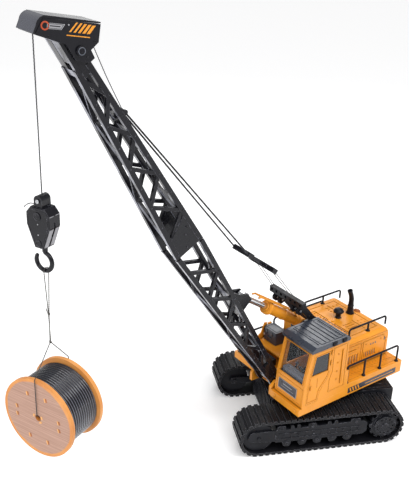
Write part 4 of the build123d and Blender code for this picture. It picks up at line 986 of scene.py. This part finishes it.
def make_hood_trim():
    """Raised borders, studs, vents and filler cap of the hood."""
    low, high = box_mm("engine_hood")
    top = moved(0, 0, high.z)
    trim = Piece()
    trim.outline(rectangle(low.x + 20, low.y + 12, high.x - 6, high.y - 12), 1.3, 0.7, top)
    trim.outline(rectangle(-58, 8, -26, 38), 1.0, 0.8, top)
    trim.outline(rectangle(-58, -38, -26, -8), 1.0, 0.8, top)
    trim.ridge((-60, 0), (-24, 0), 2.2, 0.9, top)
    for start, end in ((14, 40), (-40, -16)):
        trim.ridge((-88, start), (-88, end), 1.2, 0.8, top)
    for side in (-1, 1):
        for i in range(5):
            for j in range(4):
                stud = moved(-54 + 6 * i, side * (13 + 6.6 * j), high.z)
                trim.turned([(1.5, -0.2), (1.45, 0.5), (1.0, 1.0), (0.2, 1.15)], stud, 16)
        for i in range(4):
            y = side * (18 + 5.5 * i)
            trim.ridge((-82, y), (-66 - 14 * (side < 0), y), 1.6, 0.9, top)
        for i in range(3):
            for x in (-95, -103):
                stud = moved(x, side * (20 + 7 * i), high.z)
                trim.turned([(1.7, -0.2), (1.6, 0.5), (1.1, 1.0), (0.2, 1.1)], stud, 16)
    for y in (low.y, high.y):
        wall = wall_frame(y)
        trim.outline([(-119, 98), (-70, 98), (-70, 131), (-113, 131), (-119, 124)], 1.2, 0.7, wall)
        trim.outline(rectangle(-66, 98, -20, 131), 1.2, 0.7, wall)
        trim.ridge((-121, 135.2), (-18, 135.2), 1.4, 0.8, wall)
        for i in range(6):
            trim.ridge((-98 + 4.6 * i, 104), (-96.4 + 4.6 * i, 112), 1.6, 0.9, wall)
            trim.ridge((-60 + 5.6 * i, 103), (-60 + 5.6 * i, 115), 1.9, 1.0, wall)
        trim.screws(wall, [(x, 126) for x in (-76, -108, -60, -26)] + [(-26, 103), (-108, 103)], 1.3, 0.7)
        trim.ridge((-54, 123.5), (-34, 123.5), 2.0, 1.6, wall)
    rear = face_frame((low.x, 0, 0), (0, 1, 0), (0, 0, 1), (-1, 0, 0))
    trim.outline(rectangle(-46, 99, 46, 121), 1.2, 0.7, rear)
    for i in range(9):
        trim.ridge((-32 + 8 * i, 103), (-32 + 8 * i, 117), 2.0, 0.9, rear)
    trim.make("hood_trim", "hood_orange", "house")
    dark = Piece()
    for y in (low.y, high.y):
        wall = wall_frame(y)
        dark.box((-117.2, 121.0, -0.3), (-115.0, 128.4, 0.25), wall, 0.2)
        for i in range(5):
            dark.ridge((-95.8 + 4.6 * i, 104.4), (-94.4 + 4.6 * i, 111.4), 0.9, 0.12, wall)
            dark.ridge((-57.2 + 5.6 * i, 103.6), (-57.2 + 5.6 * i, 114.4), 1.0, 0.12, wall)
        for x in (-97.5, -92.5, -87.5):
            dark.box((x, 121.4, -0.3), (x + 2.4, 124.6, 0.15), wall, 0.2)
    dark.make("hood_vents", "iron", "house")
    cap = Piece()
    slope = face_frame((-117.6, -3.5, high.z - 1.0), (cos(radians(18)), 0, sin(radians(18))), (0, 1, 0),
                       (-sin(radians(18)), 0, cos(radians(18))))
    lid = [(5.6, -1.2), (5.6, 0.7), (5.0, 1.2), (4.6, 1.2), (4.4, 2.2), (3.6, 2.7), (0.4, 2.9)]
    cap.turned(lid, slope, 36)
    for k in range(10):
        grip = slope @ turned_by(36 * k)
        cap.box((4.0, -0.6, 1.1), (4.9, 0.6, 2.2), grip, 0.2)
    cap.make("filler_cap", "cap_brown", "house")


def make_rail_feet():
    """Round flanges where the rails' posts stand, and the near rail's front post."""
    feet = Piece()
    hood_z = box_mm("hood_rails")[0].z
    for side in (-1, 1):
        for x in (-46, -86):
            feet.turned([(3.4, -0.1), (3.4, 0.9), (2.6, 1.7), (1.7, 2.0)], moved(x, side * 49, hood_z), 24)
    deck = box_mm("engine_hood")[0].z
    for side in (-1, 1):
        for x in (-50, -84, -121):
            feet.turned([(2.9, -0.1), (2.9, 1.1), (2.3, 2.2), (1.6, 2.8)], moved(x, side * 82, deck), 24)
    post = [Vector((x, 82, z)) for x, z in ((-15.6, deck), (-15.6, 112), (-15.2, 116), (-14.0, 119.4))]
    feet.tube(post, 1.45, 14)
    feet.turned([(2.1, -0.1), (2.1, 1.1), (1.9, 2.2), (1.5, 2.8)], moved(-15.6, 82, deck), 24)
    feet.make("rail_feet", "trim_black", "house")


def make_deck_trim():
    """Dark edge strip with slanted bars, and tread bars on the walkways."""
    low, high = box_mm("house_deck")
    strip = Piece()
    bars = Piece()
    tread = Piece()
    walkway = moved(0, 0, 94)
    for y in (low.y, high.y):
        wall = wall_frame(y)
        strip.slab(rectangle(-118, 76.8, -16.5, 85.6), 0.3, wall, -0.05)
        for i in range(4):
            x = -24.5 - 5.4 * i
            bars.slab([(x, 77.6), (x + 2.4, 77.6), (x + 5.4, 84.8), (x + 3.0, 84.8)], 0.3, wall, 0.1)
        bars.slab(rectangle(-112, 80.6, -52, 81.6), 0.3, wall, 0.1)
        side = 1 if y > 0 else -1
        for i in range(17):
            x = -122 + 6.2 * i
            if side > 0 or x < -16:
                tread.ridge((x, side * 61.5), (x + 3.2, side * 64.9), 0.8, 0.4, walkway)
                tread.ridge((x + 3.2, side * 69), (x, side * 72.4), 0.8, 0.4, walkway)
    tread.outline(rectangle(-127, 60, -18, 79), 0.9, 0.4, walkway)
    tread.outline(rectangle(-127, -79, -18, -60), 0.9, 0.4, walkway)
    strip.make("edge_strip", "strip_grey", "house")
    bars.make("edge_bars", "body_orange", "house")
    tread.make("walkway_tread", "body_orange", "house")


def make_cab_trim():
    """Roof clips and ribs, window borders, blank nameplate and lip lamps."""
    low, high = box_mm("cab_shell")
    roof_low, roof_high = box_mm("cab_roof")
    clips = Piece()
    for y in (roof_low.y, roof_high.y):
        wall = wall_frame(y)
        for x in (2.0, 20.5):
            clips.box((x, roof_low.z + 1.2, -0.6), (x + 7.5, roof_high.z - 0.6, 2.0), wall, 0.6)
            clips.box((x + 1.6, roof_low.z + 2.6, 1.6), (x + 5.9, roof_high.z - 2.0, 2.5), wall, 0.4)
    clips.make("roof_clips", "trim_black", "house")
    roof = Piece()
    top = moved(0, 0, roof_high.z)
    roof.outline(rectangle(roof_low.x + 8, roof_low.y + 4, 46, roof_high.y - 4), 1.1, 0.5, top)
    roof.ridge((50, roof_low.y + 6), (50, roof_high.y - 6), 1.4, 0.6, top)
    for i in range(5):
        x = 20.0 - 6.4 * i
        roof.ridge((x, roof_low.y + 8), (x, roof_high.y - 8), 1.1, 0.35, top)
    roof.make("roof_ribs", "roof_grey", "house")
    slant = Vector((-2, 0, 36)).normalized()
    front = face_frame((high.x + 0.02, 0, low.z), (0, 1, 0), slant, Vector((36, 0, 2)).normalized())
    plate = Piece()
    plate.slab(rectangle(34, 9.4, 71, 24.4), 0.5, front, -0.2)
    plate.make("nameplate", "strip_grey", "house")
    border = Piece()
    border.outline(rectangle(34, 9.4, 71, 24.4), 0.8, 0.8, front)
    border.ridge((40, 14.2), (65, 14.2), 0.7, 0.55, front)
    border.ridge((44, 18.6), (61, 18.6), 1.4, 0.55, front)
    border.make("nameplate_border", "label_grey", "house")
    shell = Piece()
    shell.outline(rectangle(30, 4.2, 82, 30), 1.0, 0.5, front)
    pillar = Vector((-10, 0, 51)).normalized()
    window = face_frame((low.x + 80.05, 0, 121), (0, 1, 0), pillar, Vector((51, 0, 10)).normalized())
    shell.outline(rectangle(31.8, 0.2, 80.2, 48.4), 1.1, 0.8, window)
    side = wall_frame(high.y)
    shell.outline([(-5, 96), (-5, 166), (20.5, 166), (20.5, 128), (25, 116), (25, 96)], 1.0, 0.6, side)
    shell.ridge((3, 104), (3, 158), 2.2, 1.6, side)
    shell.screws(side, [(11.5, z) for z in (112, 126, 140, 154)], 1.5, 0.9)
    inner = face_frame((0, low.y, 0), (1, 0, 0), (0, 0, 1), (0, -1, 0))
    shell.outline([(7, 123), (59, 123), (53, 163), (7, 163)], 1.1, 0.6, inner)
    shell.outline([(0, 92), (64, 92), (63, 117), (0, 117)], 1.0, 0.6, inner)
    shell.make("cab_borders", "body_orange", "house")
    lights = Piece()
    for y in (33.5, 76.5):
        lamp = front_frame(box_mm("house_deck")[1].x) @ moved(y, 80)
        lights.turned([(2.6, -0.3), (2.6, 0.5), (2.1, 0.9), (0.2, 1.0)], lamp, 24)
    lights.make("lip_lamps", "body_orange", "house")


def make_cab_inside():
    """Dash panel, rounded seat with headrest, and steering wheel."""
    dash = Piece()
    dash.box((61.5, 33.5, 112), (67.6, 78.5, 127.5), bevel=1.2)
    dash.box((58.5, 36, 119), (63, 76, 129.0), bevel=1.6)
    for i in range(5):
        dash.ridge((40 + 8 * i, 121), (43.5 + 8 * i, 121), 1.6, 0.6, front_frame(67.6))
    dash.make("dash_panel", "dash_grey", "house")
    low, high = box_mm("cab_seat")
    middle = (low.y + high.y) / 2
    seat = Piece()
    seat.box((14, middle - 9, low.z), (30, middle + 9, 100), bevel=1.0)
    seat.box((10, low.y, 99.5), (36, high.y, 109), bevel=3.0)
    lean = face_frame((13.5, middle, 108), (0, 1, 0), Vector((-5.5, 0, 40)).normalized(),
                      Vector((40, 0, 5.5)).normalized())
    seat.box((-12, -1, -6), (12, 30, 1.5), lean, 3.0)
    seat.box((-6.5, 31, -5), (6.5, 42, 1), lean, 2.6)
    for u in (-7.5, 0, 7.5):
        seat.ridge((u, 3), (u, 26), 1.4, 2.4, lean)
    for side in (-1, 1):
        seat.box((15, middle + side * 14 - 1.6, 112), (33, middle + side * 14 + 1.6, 115.5), bevel=1.4)
        seat.box((17, middle + side * 14 - 1.2, 104), (20, middle + side * 14 + 1.2, 113), bevel=0.8)
    seat.make("driver_seat", "trim_black", "house", ["cab_seat"])
    wheel = Piece()
    tilt = face_frame((49, middle, 124), (0, 1, 0), Vector((0.55, 0, 0.83)).normalized(),
                      Vector((-0.83, 0, 0.55)).normalized())
    ring = [tilt @ Vector((9 * cos(tau * k / 36), 9 * sin(tau * k / 36), 0)) for k in range(37)]
    wheel.tube(ring, 1.1, 10)
    for a in (90, 210, 330):
        spoke = tilt @ turned_by(a)
        wheel.box((0.5, -0.9, -0.6), (8.8, 0.9, 0.6), spoke, 0.4)
    wheel.turned([(2.8, -1), (2.8, 0.8), (2.0, 1.4), (0.3, 1.5)], tilt, 20)
    wheel.tube([tilt @ Vector((0, 0, -0.5)), Vector((54, middle, 119)), Vector((60, middle, 112))], 1.3, 10)
    wheel.make("steering_wheel", "trim_black", "house")


def make_door_trim():
    """Raised lines, window border and hinges of the cab door."""
    low, high = box_mm("cab_door")
    face = wall_frame(high.y - 1.6)
    door = Piece()
    door.outline([(29.2, 133.2), (61.4, 133.2), (55.2, 163.8), (29.2, 163.8)], 1.1, 0.8, face)
    pressing = [(27.5, 131), (32.5, 121.4), (45, 106.5), (47.4, 91.5), (65, 91.5), (63.6, 120), (61.8, 130)]
    door.outline(pressing, 1.0, 0.6, face, closed=False)
    door.ridge((48, 112), (48.8, 127), 0.9, 0.5, face)
    door.make("door_lines", "body_orange", "door")
    fittings = Piece()
    for z in (141, 158):
        fittings.tube([Vector((low.x + 0.6, high.y - 0.7, z)), Vector((low.x + 0.6, high.y - 0.7, z + 3.5)),
                       Vector((low.x + 0.6, high.y - 0.7, z + 7.0))], 1.0, 16)
    fittings.make("door_hinges", "body_orange", "door")


def make_box_trim():
    """Lid line and latches of the tool box, the guard beside it, and ribs of the side platform."""
    low, high = box_mm("tool_box")
    lid = Piece()
    lid.box((low.x - 0.5, low.y - 0.5, high.z - 5.5), (high.x + 0.5, high.y + 0.5, high.z - 4.6), bevel=0.3)
    front = front_frame(high.x)
    for y in (-72, -59):
        lid.box((y - 1.6, high.z - 9, -0.2), (y + 1.6, high.z - 3, 1.0), front, 0.4)
    lid.ridge((-69, 103), (-61, 103), 1.6, 1.4, front)
    lid.outline(rectangle(low.x + 3, low.y + 3, high.x - 3, high.y - 3),
                1.0, 0.5, moved(0, 0, high.z))
    lid.make("tool_box_trim", "roof_grey", "house")
    low, high = box_mm("side_platform")
    tread = Piece()
    guard = Piece()
    side = wall_frame(-79.6)
    deck = box_mm("tool_box")[0].z
    guard.slab([(9.5, deck), (20.5, deck), (20.5, deck + 5), (12.5, deck + 11), (7.0, deck + 27),
                (1.5, deck + 26), (6.5, deck + 9)], 1.8, side)
    guard.make("corner_guard", "body_orange", "house")
    top = moved(0, 0, high.z)
    for i in range(7):
        tread.ridge((low.x + 3.2, low.y + 5 + 7.2 * i), (high.x - 3.2, low.y + 5 + 7.2 * i), 1.5, 0.5, top)
    tread.outline(rectangle(low.x + 1.5, low.y + 1.5, high.x - 1.5, high.y - 1.5), 1.0, 0.7, top)
    tread.make("platform_tread", "roof_grey", "house")


# ---- undercarriage -------------------------------------------------------------------------------

ALONG = Vector(joint("switch_slide")["axis"])
ACROSS = Vector(joint("sprocket_left_spin")["axis"])


def track_wall(v):
    """A track's side at v across the tracks: local X along them, Y up, Z outward."""
    return face_frame(ACROSS * v, ALONG, UP, ACROSS * (1 if v > 0 else -1))


def make_track_trim():
    """Bolts and ribs of the side frames, hub caps of the wheels."""
    for word, side in (("left", 1), ("right", -1)):
        wall = track_wall(side * 93)
        frame_trim = Piece()
        frame_trim.ridge((-66, 34.5), (58, 34.5), 1.3, 0.7, wall)
        frame_trim.ridge((-66, 26.0), (58, 26.0), 1.3, 0.7, wall)
        frame_trim.screws(wall, [(u, 30.2) for u in (-62, -40, -18, 5, 28, 50)], 1.8, 1.0)
        for u in (-52, -29, -6.5, 16.5, 39):
            frame_trim.ridge((u, 27), (u, 33.5), 1.2, 0.8, wall)
        for lug_u in (54, 8, -58):
            frame_trim.turned([(3.2, -0.2), (3.2, 0.7), (2.5, 1.2), (1.5, 1.2), (1.4, 0.4), (0.2, 0.4)],
                              wall @ moved(lug_u, 43.2), 22)
        for i in range(5):
            frame_trim.turned([(4.6, -0.2), (4.6, 0.5), (3.8, 1.0), (2.2, 1.0), (2.0, 1.6), (0.3, 1.7)],
                              wall @ moved(45 - 23 * i, 18), 24)
        frame_trim.make(f"frame_trim_{word}", "chassis_black", "undercarriage")
        for kind, hub_v in (("sprocket", 94.6), ("idler", 93.0)):
            centre = pivot_mm(f"{kind}_{word}_spin")
            hub = face_frame(centre + ACROSS * side * (hub_v - 72.5), ALONG, UP, ACROSS * side)
            cap = Piece()
            if kind == "sprocket":
                cap.turned([(3.4, -0.2), (3.4, 0.2), (2.9, 0.35), (0.3, 0.4)], hub, 24)
                for k in range(6):
                    cap.screw(hub @ turned_by(60 * k + 30) @ moved(8.2, 0, -1.0), 1.1, 0.7)
                rim = [(15.0, -1.1), (15.2, -0.6), (16.2, -0.6), (16.4, -1.1)]
                cap.turned(rim, hub, 48)
            else:
                cap.turned([(2.6, -0.4), (2.6, 0.6), (2.0, 1.2), (0.3, 1.4)], hub, 24)
            cap.make(f"{kind}_cap_{word}", "chassis_black", f"{kind}_{word}")


def make_chassis_trim():
    """Ribs, panel lines and screws on the chassis deck between the tracks."""
    deck = face_frame(UP * box_mm("car_body")[1].z, ALONG, ACROSS, UP)
    trim = Piece()
    for v in (-44, 44):
        trim.ridge((-128, v), (52, v), 1.6, 0.8, deck)
    for v in (-36, -28, -20, 20, 28, 36):
        trim.ridge((-118, v), (-62, v), 1.4, 0.8, deck)
    trim.screws(deck, [(-126, 38), (-126, -38), (50, 38), (50, -38), (-58, 44), (-58, -44)], 1.8, 1.0)
    rear = face_frame(ALONG * -133, ACROSS, (0, 0, 1), -ALONG)
    trim.outline(rectangle(-40, 18, 40, 54), 1.4, 0.9, rear)
    for i in range(7):
        trim.ridge((-30 + 10 * i, 23), (-30 + 10 * i, 49), 2.0, 0.9, rear)
    trim.make("chassis_trim", "chassis_black", "undercarriage")


# ---- build ---------------------------------------------------------------------------------------

make_camera()
make_studio()
PAINTS = make_materials()
SLOTS = {part["node"]: part["material_slot"] for part in frame["record"]["subparts"]}
for node_name, node_object in frame["nodes"].items():
    smooth(node_object.data, 32)
    node_object.data.materials.clear()
    paint = {"door_glass": "door_glass", "gantry_frame": "trim_black"}.get(node_name, SLOTS[node_name])
    node_object.data.materials.append(PAINTS[paint])

for make_pieces in (make_winding, make_reel_trim, make_sling, make_lifting_hook, make_block_trim,
                    make_ropes, make_boom_trim, make_head_trim, make_head_cap, make_ram_trim,
                    make_gantry_trim, make_stacks, make_hood_trim, make_rail_feet, make_deck_trim,
                    make_cab_trim, make_cab_inside, make_door_trim, make_box_trim, make_track_trim,
                    make_chassis_trim):
    make_pieces()
